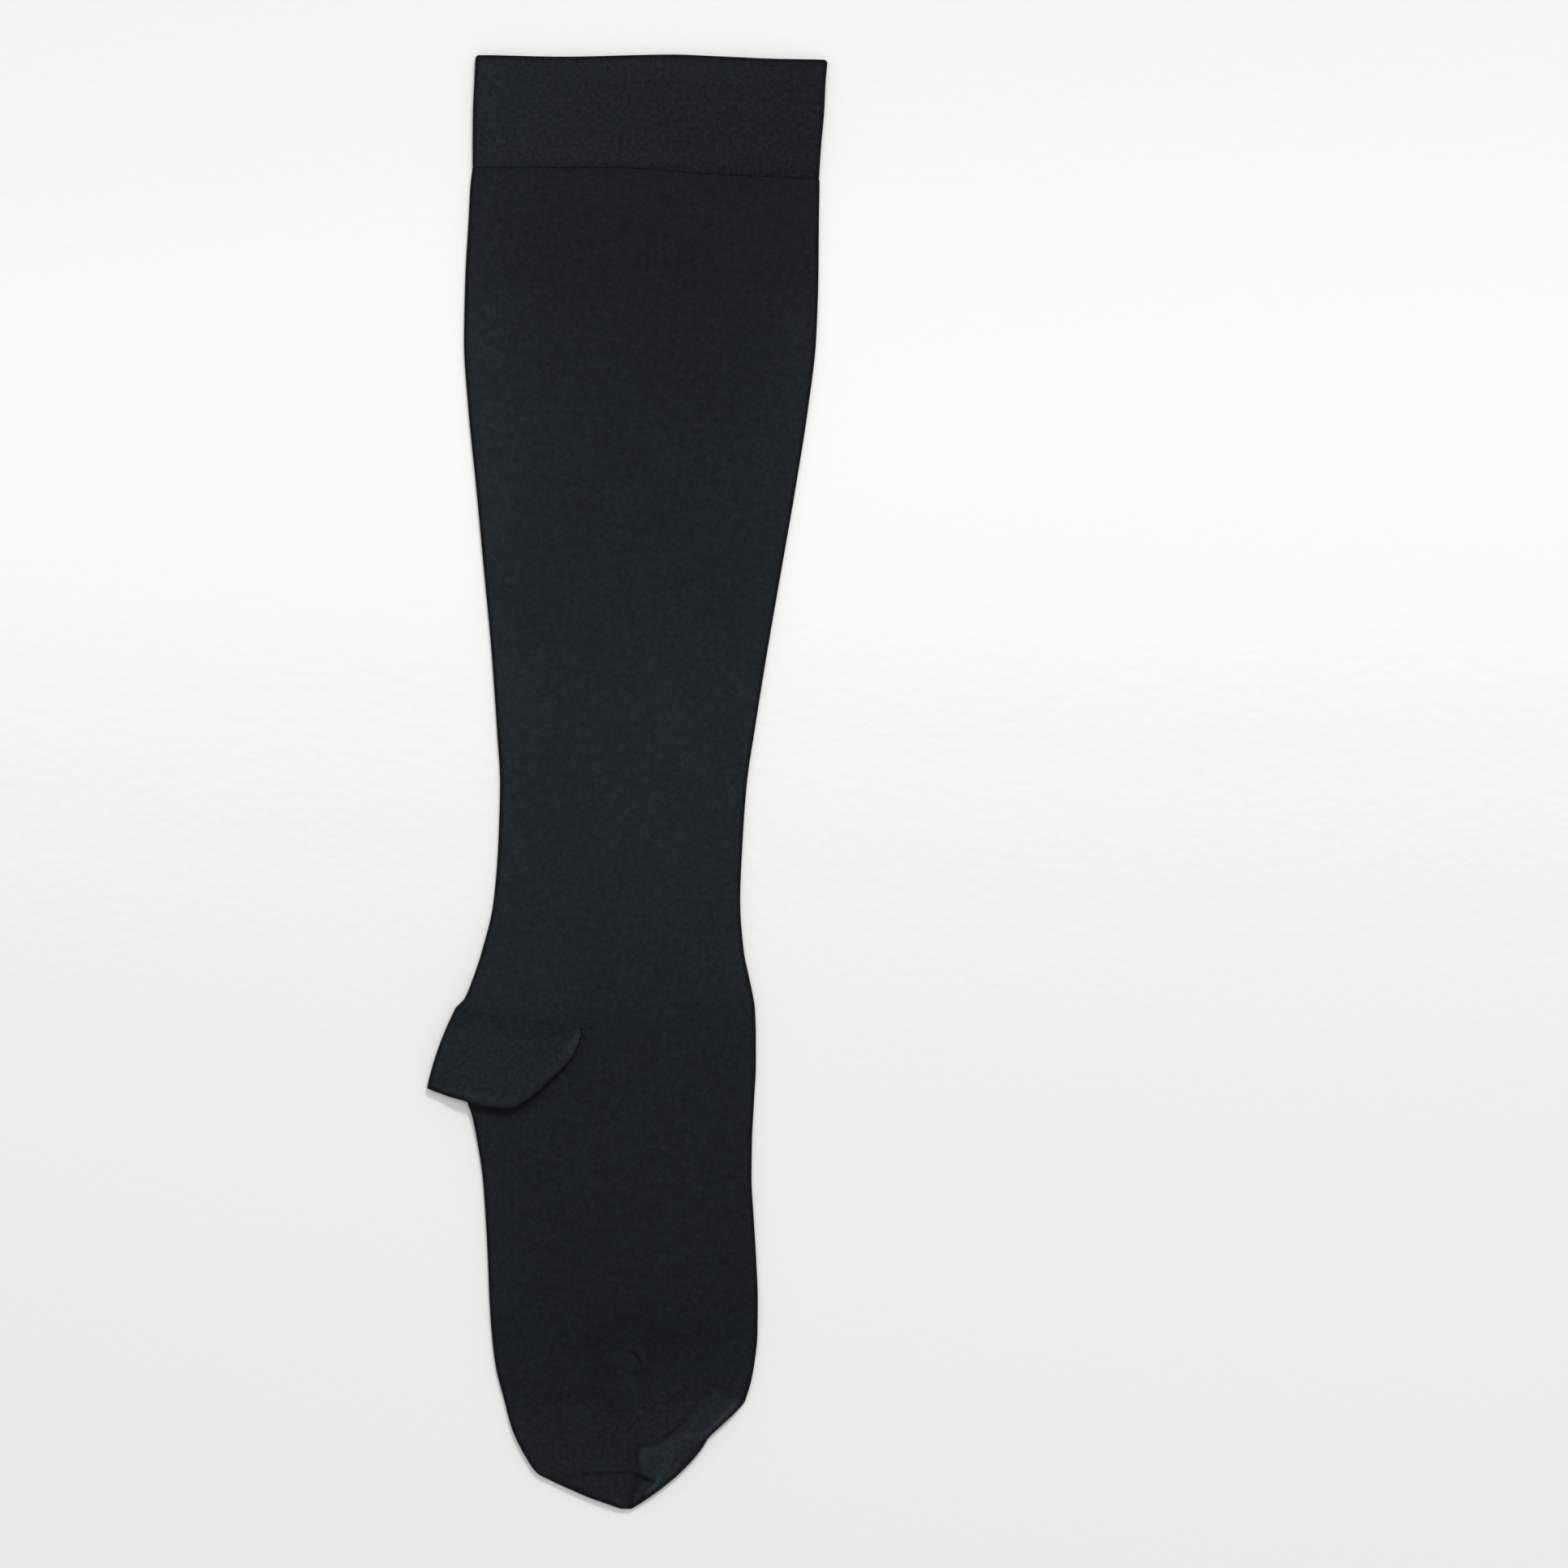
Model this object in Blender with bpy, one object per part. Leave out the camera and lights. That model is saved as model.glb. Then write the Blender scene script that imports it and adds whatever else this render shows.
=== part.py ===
"""A knee-high compression stocking with a closed toe, lying flat on its side.

The stocking is a knitted tube pressed flat, so a cut across it is a long thin ring: the upper
layer, the fold down the front of the leg, the lower layer, and the fold down the back. The foot
lies straight down in line with the leg, so the heel pocket is folded over the foot as a cuff.

Frame: +X points from the back of the leg to its front, +Y from the toe to the hem, +Z up from
the surface that it lies on. The origin is at the middle of the underside. The sizes below are in
millimetres, and the meshes are made in metres.
"""

import math
from collections import namedtuple

import bmesh
import bpy

MM = 0.001
OBJECT_NAME = "compression_stocking"

# Thickness of what lies on the table
SEAM_GAP = 0.3
LEG_WALL = 1.0
LEG_HEIGHT = 2.5
BAND_WALL = 1.4
BAND_HEIGHT = 3.3
FOOT_HEIGHT = 2.4
TOE_WALL = 1.0
TOE_HEIGHT = 3.2
TOE_CAVITY = 0.4
TOE_RISE = 12.0
FOLD_START = 0.35
TIP_ROUND = 1.8
EDGE_PUFF = 0.3
EDGE_PUFF_WIDTH = 6.0

# The folded heel: a cuff of two layers above the foot and two below it
FLAP_WALL = 1.4
FLAP_WALL_BELOW = 1.0
FLAP_RIM_LIFT = 0.3
FLAP_TIP_GAP = 0.8
FLAP_DROOP_START = 1.5
FLAP_DROOP_WIDTH = 10.0
FLAP_SETTLE = 16.0
FOOT_LIFT = FLAP_WALL_BELOW + SEAM_GAP + 0.1
FLAP_END_WALL = 0.7
LEG_RAMP = 40.0
GORE_FADE = 7.0

# Rings: points across each layer and inside each fold, and the number of rings of each piece
LAYER_POINTS = 20
FOLD_POINTS = 4
FOLD_ROOM = 0.3
BAND_SEAM_ROUND = 0.35
BAND_RINGS = 5
BAND_INNER_RINGS = 3
HEM_TURN_STEPS = 4
LEG_SHARES = [k / 18 for k in range(17)] + [0.915, 0.94, 0.965, 0.985, 1.0]
FOOT_SHARES = [k / 25 for k in range(9)] + [0.36, 0.42, 0.5, 0.58, 0.66, 0.74, 0.82, 0.9, 0.96, 1.0]
TOE_RINGS = 19
TOE_INNER_RINGS = 12
TIP_ANGLES = (22, 46, 72)
RIM_ANGLES = (45, 90, 135)
CUFF_TURN_STEPS = 6
SLOPE_STEP = 0.5
SHARP_ANGLE = 45.0

# One row for each place where the flat stocking was measured: its back edge and its front edge
Width = namedtuple("Width", "place y back front")
BAND_WIDTHS = (
    Width("hem", 267.0, -56.1, 74.1),
    Width("upper band", 259.0, -56.5, 73.4),
    Width("middle of band", 247.0, -57.0, 72.8),
    Width("lower band", 235.0, -57.1, 71.7),
    Width("band seam", 223.0, -57.1, 70.9),
)
LEG_WIDTHS = (
    Width("band seam", 226.5, -57.2, 70.9),
    Width("under the band", 221.0, -57.9, 71.1),
    Width("below the knee", 208.0, -58.6, 70.9),
    Width("upper calf", 187.0, -59.8, 70.7),
    Width("widest calf", 163.0, -60.3, 69.8),
    Width("lower calf", 139.0, -58.8, 67.0),
    Width("shin", 109.0, -55.8, 62.3),
    Width("middle shin", 79.0, -53.0, 57.1),
    Width("lower shin", 49.0, -50.2, 51.9),
    Width("above the ankle", 19.0, -48.1, 47.1),
    Width("upper ankle", 0.0, -47.0, 44.3),
    Width("ankle", -20.0, -47.5, 42.8),
    Width("below the ankle", -44.0, -49.4, 41.8),
    Width("upper heel", -62.0, -53.6, 43.1),
    Width("heel", -72.0, -56.9, 45.1),
    Width("above the seam", -80.2, -60.4, 46.8),
    Width("heel seam", -83.0, -63.3, 47.2),
    Width("instep seam", -92.0, -66.5, 47.6),
)
FOOT_WIDTHS = (
    Width("heel seam", -83.0, -61.0, 47.2),
    Width("instep seam", -92.0, -60.8, 47.6),
    Width("under the flap", -104.0, -60.2, 47.6),
    Width("edge of the flap", -118.0, -59.0, 46.9),
    Width("below the flap", -122.0, -57.6, 46.7),
    Width("arch", -131.0, -55.7, 46.2),
    Width("middle of arch", -146.0, -53.4, 46.0),
    Width("upper foot", -161.0, -52.3, 46.8),
    Width("middle of foot", -176.0, -51.5, 47.7),
    Width("ball of foot", -191.0, -50.9, 48.3),
    Width("below the ball", -203.0, -50.1, 48.2),
    Width("base of toes", -215.0, -48.7, 47.0),
    Width("toe seam", -228.0, -45.5, 43.7),
    Width("inside the toe", -233.0, -44.1, 39.7),
)
TOE_WIDTHS = (
    Width("base of toes", -215.0, -48.7, 47.0),
    Width("toe seam", -228.0, -45.5, 43.8),
    Width("below the seam", -232.0, -44.5, 40.6),
    Width("little toe", -238.9, -42.5, 33.4),
    Width("notch", -242.3, -41.1, 29.9),
    Width("below the notch", -245.0, -39.8, 28.3),
    Width("toes", -249.0, -37.6, 25.3),
    Width("back corner", -255.0, -33.4, 19.6),
    Width("below the corner", -258.0, -27.9, 16.2),
    Width("lower toe", -261.2, -21.4, 12.2),
    Width("near the tip", -264.0, -15.2, 8.4),
    Width("above the tip", -267.0, -6.2, 3.8),
    Width("tip", -268.3, -2.2, 1.5),
)

# Lines across the stocking, as (x, y) from the back edge to the front edge
HEM_LINE = (
    (-56.2, 268.0), (-54.8, 268.7), (-24, 268.1), (4, 268.7), (16, 268.9), (37, 268.1), (56, 267.3),
    (72.8, 267.0), (74.2, 266.2)
)
BAND_SEAM_LINE = ((-57, 227.2), (-4, 227.1), (12, 226.2), (30, 224.7), (71, 222.9))
HEEL_SEAM_LINE = ((-63, -83.0), (-39, -87.0), (-15.6, -90.7), (10, -92.0), (48, -92.0))
TOE_SEAM_LINE = ((-46, -231.0), (-16, -228.6), (-4, -231.6), (23, -222.6), (36, -224.6), (44, -228.0))
TIP_Y = -268.3
GORE_END = (-15.6, -90.7)

# The cuff: one row for each section, from where it leaves the heel seam to its rim
Flap = namedtuple("Flap", "place seam_x rim_x rim_y")
FLAP_SECTIONS = (
    Flap("end of the gore", -17.6, -16.8, -93.4),
    Flap("top of the curve", -19.6, -17.6, -96.2),
    Flap("upper curve", -22.0, -18.9, -99.2),
    Flap("curve", -25.0, -20.9, -102.5),
    Flap("middle of the curve", -28.3, -24.2, -106.1),
    Flap("lower curve", -31.8, -28.4, -110.1),
    Flap("below the curve", -35.2, -33.1, -114.6),
    Flap("above the corner", -38.2, -37.8, -118.0),
    Flap("corner", -40.4, -40.6, -119.9),
    Flap("below the corner", -42.8, -43.6, -120.5),
    Flap("rim", -46.6, -48.4, -120.2),
    Flap("middle of the rim", -50.5, -54.0, -119.2),
    Flap("edge of the foot", -54.0, -60.0, -117.5),
    Flap("before the fold", -57.3, -66.2, -115.8),
)
FLAP_FOLD_TOP = (-63.3, -83.3)
FLAP_TIP = (-74.0, -112.8)
FLAP_FOLD_BULGE = 1.1
FLAP_LENGTH_STEPS = 5
FLAP_SHORTER_BELOW = 1.2

# The largest folds of the toe: a groove along a path, and a step down (or up, if negative) to
# the left of it, which levels out over the settle width
Fold = namedtuple("Fold", "place groove step width settle path")
DIAGONAL_PATH = (
    (28, -225), (24, -230.8), (21, -235.6), (17, -239.4), (12.8, -242.5), (8.8, -244.6), (4.5, -244.8)
)
SHORT_PATH = ((5, -244.5), (3.2, -248), (3.5, -251), (4.3, -254))
CROSS_PATH = (
    (10.5, -258), (5, -256.8), (3, -255.3), (-1, -254.6), (-10, -255), (-22, -256), (-28, -256.6)
)
TIP_PATH = ((3.5, -257.5), (2.8, -261), (1.5, -264), (1.2, -267.5))
FRONT_PATH = ((14, -253.5), (12, -256.5), (10, -260), (7.5, -262.5), (6, -264))
TOE_FOLDS = (
    Fold("diagonal fold", 0.7, -0.4, 1.8, 9.0, DIAGONAL_PATH),
    Fold("short crease", 0.4, 0.0, 1.2, 6.0, SHORT_PATH),
    Fold("cross fold", 0.3, 0.7, 1.4, 14.0, CROSS_PATH),
    Fold("tip crease", 0.4, 0.0, 1.3, 6.0, TIP_PATH),
    Fold("front ridge", -0.4, 0.0, 1.4, 6.0, FRONT_PATH),
)


def lerp(a, b, t):
    return a + (b - a) * t


def ease(t):
    """Runs smoothly from 0 at t = 0 to 1 at t = 1, and stays there on both sides."""
    t = min(max(t, 0.0), 1.0)
    return t * t * (3.0 - 2.0 * t)


def smooth(keys, values, at):
    """The value at a place on the smooth curve through keys and values, with no overshoot."""
    if keys[0] > keys[-1]:
        keys, values = keys[::-1], values[::-1]
    at = min(max(at, keys[0]), keys[-1])
    last = len(keys) - 2
    i = next((k for k in range(last + 1) if at <= keys[k + 1]), last)
    rise = [(values[k + 1] - values[k]) / (keys[k + 1] - keys[k]) for k in range(last + 1)]

    def slope(k):
        before, after = rise[max(k - 1, 0)], rise[min(k, last)]
        return 0.0 if before * after <= 0.0 else 2.0 * before * after / (before + after)

    span = keys[i + 1] - keys[i]
    t = (at - keys[i]) / span
    start = values[i] * (1 + 2 * t) * (1 - t) ** 2 + slope(i) * span * t * (1 - t) ** 2
    end = values[i + 1] * t * t * (3 - 2 * t) + slope(i + 1) * span * t * t * (t - 1)
    return start + end


def line_y(line, x):
    return smooth([p[0] for p in line], [p[1] for p in line], x)


def width_at(widths, y):
    """The back and front edges at y, read from a table of widths."""
    keys = [row.y for row in widths]
    back = smooth(keys, [row.back for row in widths], y)
    front = smooth(keys, [row.front for row in widths], y)
    return back, front


def path_offset(path, x, y):
    """How far a point lies from a path of straight stretches, and on which side (+ to its left)."""
    best = None
    for (ax, ay), (bx, by) in zip(path, path[1:]):
        length = math.hypot(bx - ax, by - ay)
        along = ((x - ax) * (bx - ax) + (y - ay) * (by - ay)) / length
        near = min(max(along, 0.0), length)
        px, py = lerp(ax, bx, near / length), lerp(ay, by, near / length)
        distance = math.hypot(x - px, y - py)
        side = (bx - ax) * (y - ay) - (by - ay) * (x - ax)
        if best is None or distance < best[0]:
            best = (distance, math.copysign(1.0, side))
    return best


# Heights of the layers over the table

def edge_puff(widths, x, y):
    """The knit springs up a little beside the folds down both edges."""
    back, front = width_at(widths, y)
    inside = min(x - back, front - x)
    return EDGE_PUFF * math.exp(-((inside / EDGE_PUFF_WIDTH) ** 2))


def beyond_flap(x, y):
    """How far a point of the foot lies outside the cuff's rim; 0 or less is under the cuff."""
    corner = next(row for row in FLAP_SECTIONS if row.place == "corner")
    edges = ((FLAP_TIP, (corner.rim_x, corner.rim_y)), ((corner.rim_x, corner.rim_y), GORE_END))
    distances = []
    for (ax, ay), (bx, by) in edges:
        length = math.hypot(bx - ax, by - ay)
        distances.append(((x - ax) * (by - ay) - (y - ay) * (bx - ax)) / length)
    return max(distances)


def foot_bottom(x, y):
    return FOOT_LIFT * (1.0 - ease(beyond_flap(x, y) / FLAP_SETTLE))


def foot_top(x, y):
    return foot_bottom(x, y) + FOOT_HEIGHT + edge_puff(FOOT_WIDTHS, x, y)


def behind_gore(x):
    """1 where the heel seam has the cuff below it, 0 in front of the gore's end."""
    return ease((GORE_END[0] - x) / GORE_FADE)


def heel_ramp(x, y):
    """0 on the flat leg, 1 at the heel seam."""
    return ease(1.0 - (y - line_y(HEEL_SEAM_LINE, x)) / LEG_RAMP)


def leg_bottom(x, y):
    seam_y = line_y(HEEL_SEAM_LINE, x)
    return foot_bottom(x, seam_y) * (1.0 - behind_gore(x)) * heel_ramp(x, y)


def leg_top(x, y):
    seam_y = line_y(HEEL_SEAM_LINE, x)
    flat = LEG_HEIGHT + edge_puff(LEG_WIDTHS, x, y)
    heel = foot_top(x, seam_y) + (SEAM_GAP + FLAP_WALL) * behind_gore(x)
    return lerp(flat, heel, heel_ramp(x, y))


def band_bottom(x, y):
    return 0.0


def band_top(x, y):
    return BAND_HEIGHT + edge_puff(BAND_WIDTHS, x, y)


def tip_thinning(y):
    """1 along the toe, falling to 0 where its end rounds away."""
    near = min(max((y - TIP_Y) / TIP_ROUND, 0.0), 1.0)
    return math.sqrt(1.0 - (1.0 - near) ** 2)


def toe_bottom(x, y):
    return 0.5 * TOE_HEIGHT * (1.0 - tip_thinning(y))


def toe_top(x, y):
    return lerp(0.5 * TOE_HEIGHT, toe_surface(x, y), tip_thinning(y))


def toe_surface(x, y):
    """The toe is level with the foot at its seam, thicker below it, and creased by its folds."""
    depth = ease((line_y(TOE_SEAM_LINE, x) - y) / TOE_RISE)
    height = lerp(foot_top(x, y), TOE_HEIGHT, depth)
    share = lerp(FOLD_START, 1.0, depth)
    for fold in TOE_FOLDS:
        distance, side = path_offset(fold.path, x, y)
        height -= share * fold.groove * math.exp(-((distance / fold.width) ** 2))
        if side > 0.0:
            level = ease(distance / fold.width) * (1.0 - ease(distance / fold.settle))
            height -= share * fold.step * level
    return height


# Rings and lofts

Tube = namedtuple("Tube", "widths bottom top")
BAND = Tube(BAND_WIDTHS, band_bottom, band_top)
LEG = Tube(LEG_WIDTHS, leg_bottom, leg_top)
FOOT = Tube(FOOT_WIDTHS, foot_bottom, foot_top)
TOE = Tube(TOE_WIDTHS, toe_bottom, toe_top)
TOE_HOLLOW = Tube(TOE_WIDTHS, lambda x, y: 0.0, lambda x, y: TOE_CAVITY + 2.0 * TOE_WALL)


def edge_point(tube, line, which):
    """The end of a line across the tube, on its back edge (0) or its front edge (1)."""
    x = 0.0
    for _ in range(6):
        y = line(x)
        x = width_at(tube.widths, y)[which]
    return x, y


def edge_stretch(tube, y, which):
    """How much longer a fold looks on a cut across it where the edge runs slanting."""
    run = width_at(tube.widths, y + SLOPE_STEP)[which] - width_at(tube.widths, y - SLOPE_STEP)[which]
    return math.hypot(1.0, run / (2 * SLOPE_STEP))


def spread(t):
    """Shares of the way across a layer, a little closer together towards the folds."""
    return 0.5 * (t + 0.5 - 0.5 * math.cos(math.pi * t))


def steepness(height, x, y):
    """How much further it is to go straight down through a sloping wall than square to it."""
    run_x = (height(x + SLOPE_STEP, y) - height(x - SLOPE_STEP, y)) / (2 * SLOPE_STEP)
    run_y = (height(x, y + SLOPE_STEP) - height(x, y - SLOPE_STEP)) / (2 * SLOPE_STEP)
    return math.sqrt(1.0 + run_x**2 + run_y**2)


def heights(tube, x, y, inset):
    """The lower and upper height of the tube at a point, each moved into the tube by the inset."""
    low, high = tube.bottom(x, y), tube.top(x, y)
    if inset > 0.0:
        low += inset * steepness(tube.bottom, x, y)
        high -= inset * steepness(tube.top, x, y)
    return low, high


def flat_ring(tube, line, inset):
    """One closed ring of the flattened tube along a line y(x), inset from its outer surface.

    It starts in the middle of the back fold, and runs over the upper layer, round the front fold
    and back along the lower layer.
    """
    ends = []
    for which, inward in ((0, 1.0), (1, -1.0)):
        x, y = edge_point(tube, line, which)
        low, high = tube.bottom(x, y) + inset, tube.top(x, y) - inset
        stretch = edge_stretch(tube, y, which)
        ends.append((x + inward * inset * stretch, 0.5 * (high - low) * stretch))
    (back_x, back_run), (front_x, front_run) = ends
    room = FOLD_ROOM * (front_x - back_x)
    back_run, front_run = min(back_run, room), min(front_run, room)
    start, end = back_x + back_run, front_x - front_run
    across = [lerp(start, end, spread(k / (LAYER_POINTS - 1))) for k in range(LAYER_POINTS)]

    def fold(x, run, turn_start):
        low, high = heights(tube, x, line(x), inset)
        points = []
        for k in range(1, FOLD_POINTS + 1):
            angle = turn_start - math.pi * k / (FOLD_POINTS + 1)
            px = x + run * math.cos(angle)
            points.append((px, line(px), lerp(low, high, 0.5 + 0.5 * math.sin(angle))))
        return points

    upper = [(x, line(x), heights(tube, x, line(x), inset)[1]) for x in across]
    lower = [(x, line(x), heights(tube, x, line(x), inset)[0]) for x in reversed(across)]
    back_fold = fold(start, back_run, -math.pi / 2)
    half = FOLD_POINTS // 2
    return back_fold[half:] + upper + fold(end, front_run, math.pi / 2) + lower + back_fold[:half]


def between(line_a, line_b, t):
    """The line a share t of the way from one line across the stocking to another."""
    return lambda x: lerp(line_a(x), line_b(x), t)


def moved(points, shift):
    """A line through points, moved along the stocking towards the hem."""
    return lambda x: line_y(points, x) + shift


def close_end(bm, row):
    """Closes the end of a loft with a strip of faces between the ring's first and second half."""
    last = len(row) - 1
    for k in range(last // 2):
        corners = (row[k], row[k + 1], row[last - k - 1], row[last - k])
        bm.faces.new(dict.fromkeys(corners))


def loft(name, rings, joined_round):
    """A closed solid through rings of points: joined round into a loop, or closed at both ends."""
    mesh = bpy.data.meshes.new(name)
    bm = bmesh.new()
    rows = [[bm.verts.new((x * MM, y * MM, z * MM)) for x, y, z in ring] for ring in rings]
    pairs = list(zip(rows, rows[1:]))
    if joined_round:
        pairs.append((rows[-1], rows[0]))
    for row, after in pairs:
        for k in range(len(row)):
            n = (k + 1) % len(row)
            bm.faces.new((row[k], row[n], after[n], after[k]))
    if not joined_round:
        close_end(bm, rows[0])
        close_end(bm, rows[-1])
    bmesh.ops.recalc_face_normals(bm, faces=bm.faces)
    bm.to_mesh(mesh)
    bm.free()
    return mesh


# The pieces

def band_mesh():
    """The turned welt: a doubled wall, round where it turns at the hem and at its sewn edge."""
    seam = moved(BAND_SEAM_LINE, 0.5 * SEAM_GAP)
    start = moved(BAND_SEAM_LINE, 0.5 * SEAM_GAP + BAND_SEAM_ROUND)
    turn = 0.5 * BAND_WALL
    end = moved(HEM_LINE, -turn)
    rings = [flat_ring(BAND, seam, BAND_SEAM_ROUND)]
    for k in range(BAND_RINGS + 1):
        rings.append(flat_ring(BAND, between(start, end, k / BAND_RINGS), 0.0))
    for k in range(1, HEM_TURN_STEPS + 1):
        angle = math.pi * k / HEM_TURN_STEPS
        line = moved(HEM_LINE, turn * (math.sin(angle) - 1.0))
        rings.append(flat_ring(BAND, line, turn * (1.0 - math.cos(angle))))
    for k in reversed(range(BAND_INNER_RINGS)):
        rings.append(flat_ring(BAND, between(seam, end, k / BAND_INNER_RINGS), BAND_WALL))
    return loft("top_band", rings, joined_round=True)


def leg_foot_mesh():
    """The main tube, from the band to the toe, with a shoulder where the foot leaves the heel."""
    leg_start = moved(BAND_SEAM_LINE, -0.5 * SEAM_GAP)
    foot_end = moved(TOE_SEAM_LINE, 0.5 * SEAM_GAP)

    def side(inset):
        shoulder = moved(HEEL_SEAM_LINE, inset)
        below = moved(HEEL_SEAM_LINE, inset - SEAM_GAP)
        rings = [flat_ring(LEG, between(leg_start, shoulder, s), inset) for s in LEG_SHARES]
        return rings + [flat_ring(FOOT, between(below, foot_end, s), inset) for s in FOOT_SHARES]

    outer, inner = side(0.0), side(LEG_WALL)
    return loft("leg_foot", outer + inner[::-1], joined_round=True)


def flap_underside(x, y):
    """Lower side of the cuff's upper part: on the foot, and sinking outside the foot's back edge."""
    back, _ = width_at(FOOT_WIDTHS, y)
    over_foot = foot_top(max(x, back), y) + SEAM_GAP
    outside = ease((back - x - FLAP_DROOP_START) / FLAP_DROOP_WIDTH)
    return lerp(over_foot, FLAP_WALL_BELOW + FLAP_TIP_GAP, outside)


def cuff_section(outer, inner, rim_direction):
    """A closed section of the cuff: its outer side down to the rim, round it, and back inside."""
    (ox, oy, oz), (ix, iy, iz) = outer[-1], inner[-1]
    dx, dy = rim_direction
    radius = 0.5 * math.dist(outer[-1], inner[-1])
    rim = []
    for angle in RIM_ANGLES:
        t = 0.5 - 0.5 * math.cos(math.radians(angle))
        out = radius * math.sin(math.radians(angle))
        rim.append((lerp(ox, ix, t) + dx * out, lerp(oy, iy, t) + dy * out, lerp(oz, iz, t)))
    return outer + rim + inner[::-1]


def cuff_side(row, above):
    """A section of the cuff's part above the foot, or of its part below it."""
    seam = (row.seam_x, line_y(HEEL_SEAM_LINE, row.seam_x) - SEAM_GAP)
    length = math.hypot(row.rim_x - seam[0], row.rim_y - seam[1])
    direction = ((row.rim_x - seam[0]) / length, (row.rim_y - seam[1]) / length)
    if above:
        wall = FLAP_WALL * lerp(FLAP_END_WALL, 1.0, behind_gore(row.seam_x))
    else:
        wall = FLAP_WALL_BELOW
        length -= min(FLAP_SHORTER_BELOW, 0.2 * length)
    length -= 0.5 * wall
    outer, inner = [], []
    for k in range(FLAP_LENGTH_STEPS + 1):
        t = k / FLAP_LENGTH_STEPS
        reach = length * t
        x, y = seam[0] + direction[0] * reach, seam[1] + direction[1] * reach
        if above:
            low = flap_underside(x, y) + FLAP_RIM_LIFT * t * t
            inner.append((x, y - SEAM_GAP * (1.0 - t), low))
            outer.append((x, y, low + wall))
        else:
            inner.append((x, y - SEAM_GAP * (1.0 - t), wall))
            outer.append((x, y, 0.0))
    return cuff_section(outer, inner, direction)


def cuff_fold(angle):
    """A section of the cuff where it turns round the back of the foot, at an angle from the top."""
    before = FLAP_SECTIONS[-1]
    start = (before.seam_x, line_y(HEEL_SEAM_LINE, before.seam_x) - SEAM_GAP)
    along = (FLAP_TIP[0] - FLAP_FOLD_TOP[0], FLAP_TIP[1] - FLAP_FOLD_TOP[1])
    length = math.hypot(*along)
    direction = (along[0] / length, along[1] / length)
    wall = 0.5 * (FLAP_WALL + FLAP_WALL_BELOW)
    length -= 0.5 * wall
    outer, inner = [], []
    for k in range(FLAP_LENGTH_STEPS + 1):
        t = k / FLAP_LENGTH_STEPS
        bulge = FLAP_FOLD_BULGE * 4.0 * t * (1.0 - t)
        edge_x = FLAP_FOLD_TOP[0] + direction[0] * length * t - bulge
        edge_y = FLAP_FOLD_TOP[1] + direction[1] * length * t
        side_x, side_y = lerp(start[0], before.rim_x, t) - edge_x, lerp(start[1], before.rim_y, t) - edge_y
        side = math.hypot(side_x, side_y)
        high = flap_underside(edge_x + 3.0, edge_y) + FLAP_RIM_LIFT * t * t
        radius = 0.5 * (high + FLAP_WALL)
        inside_radius = 0.5 * (high - FLAP_WALL_BELOW)
        cos, sin = math.cos(angle), math.sin(angle)
        for points, r, middle, shift in (
            (outer, radius, radius, 0.0),
            (inner, inside_radius, FLAP_WALL_BELOW + inside_radius, SEAM_GAP * (1.0 - t)),
        ):
            reach = radius - r * sin
            x, y = edge_x + side_x / side * reach, edge_y + side_y / side * reach
            points.append((x, y - shift, middle + r * cos))
    return cuff_section(outer, inner, direction)


def heel_mesh():
    """The heel pocket, folded down round the foot's back edge: over it, round it and under it."""
    sections = [cuff_side(row, above=True) for row in FLAP_SECTIONS]
    sections += [cuff_fold(math.pi * k / CUFF_TURN_STEPS) for k in range(CUFF_TURN_STEPS + 1)]
    sections += [cuff_side(row, above=False) for row in reversed(FLAP_SECTIONS)]
    return loft("heel_pocket", sections, joined_round=False)


def toe_mesh():
    """The toe cap: a closed end with a thin flat hollow, and the toe's largest folds on top."""
    seam = moved(TOE_SEAM_LINE, -0.5 * SEAM_GAP)

    def level(y):
        return lambda x: y

    hollow_end, round_start = level(TIP_Y + 2.0 * TOE_WALL), level(TIP_Y + TIP_ROUND)
    rings = []
    for k in reversed(range(TOE_INNER_RINGS)):
        rings.append(flat_ring(TOE_HOLLOW, between(seam, hollow_end, k / TOE_INNER_RINGS), TOE_WALL))
    for k in range(TOE_RINGS + 1):
        rings.append(flat_ring(TOE, between(seam, round_start, k / TOE_RINGS), 0.0))
    for angle in TIP_ANGLES:
        line = level(TIP_Y + TIP_ROUND * (1.0 - math.sin(math.radians(angle))))
        rings.append(flat_ring(TOE, line, 0.0))
    return loft("toe_cap", rings, joined_round=False)


def material(name, colour, roughness):
    """A plain material in the piece's own colour (linear values)."""
    made = bpy.data.materials.new(name)
    made.use_nodes = True
    shader = made.node_tree.nodes["Principled BSDF"]
    shader.inputs["Base Color"].default_value = (*colour, 1.0)
    shader.inputs["Roughness"].default_value = roughness
    shader.inputs["Metallic"].default_value = 0.0
    return made


PIECES = (
    ("top_band", band_mesh, (0.0150, 0.0178, 0.0225), 0.90),
    ("leg_foot", leg_foot_mesh, (0.0130, 0.0165, 0.0190), 0.85),
    ("heel_pocket", heel_mesh, (0.0155, 0.0195, 0.0225), 0.90),
    ("toe_cap", toe_mesh, (0.0150, 0.0190, 0.0215), 0.90),
)


def main():
    for old in list(bpy.data.objects):
        bpy.data.objects.remove(old, do_unlink=True)
    collection = bpy.data.collections.new(OBJECT_NAME)
    bpy.context.scene.collection.children.link(collection)
    for name, make_mesh, colour, roughness in PIECES:
        mesh = make_mesh()
        mesh.materials.append(material(name, colour, roughness))
        mesh.shade_smooth()
        mesh.set_sharp_from_angle(angle=math.radians(SHARP_ANGLE))
        collection.objects.link(bpy.data.objects.new(name, mesh))


main()
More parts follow.
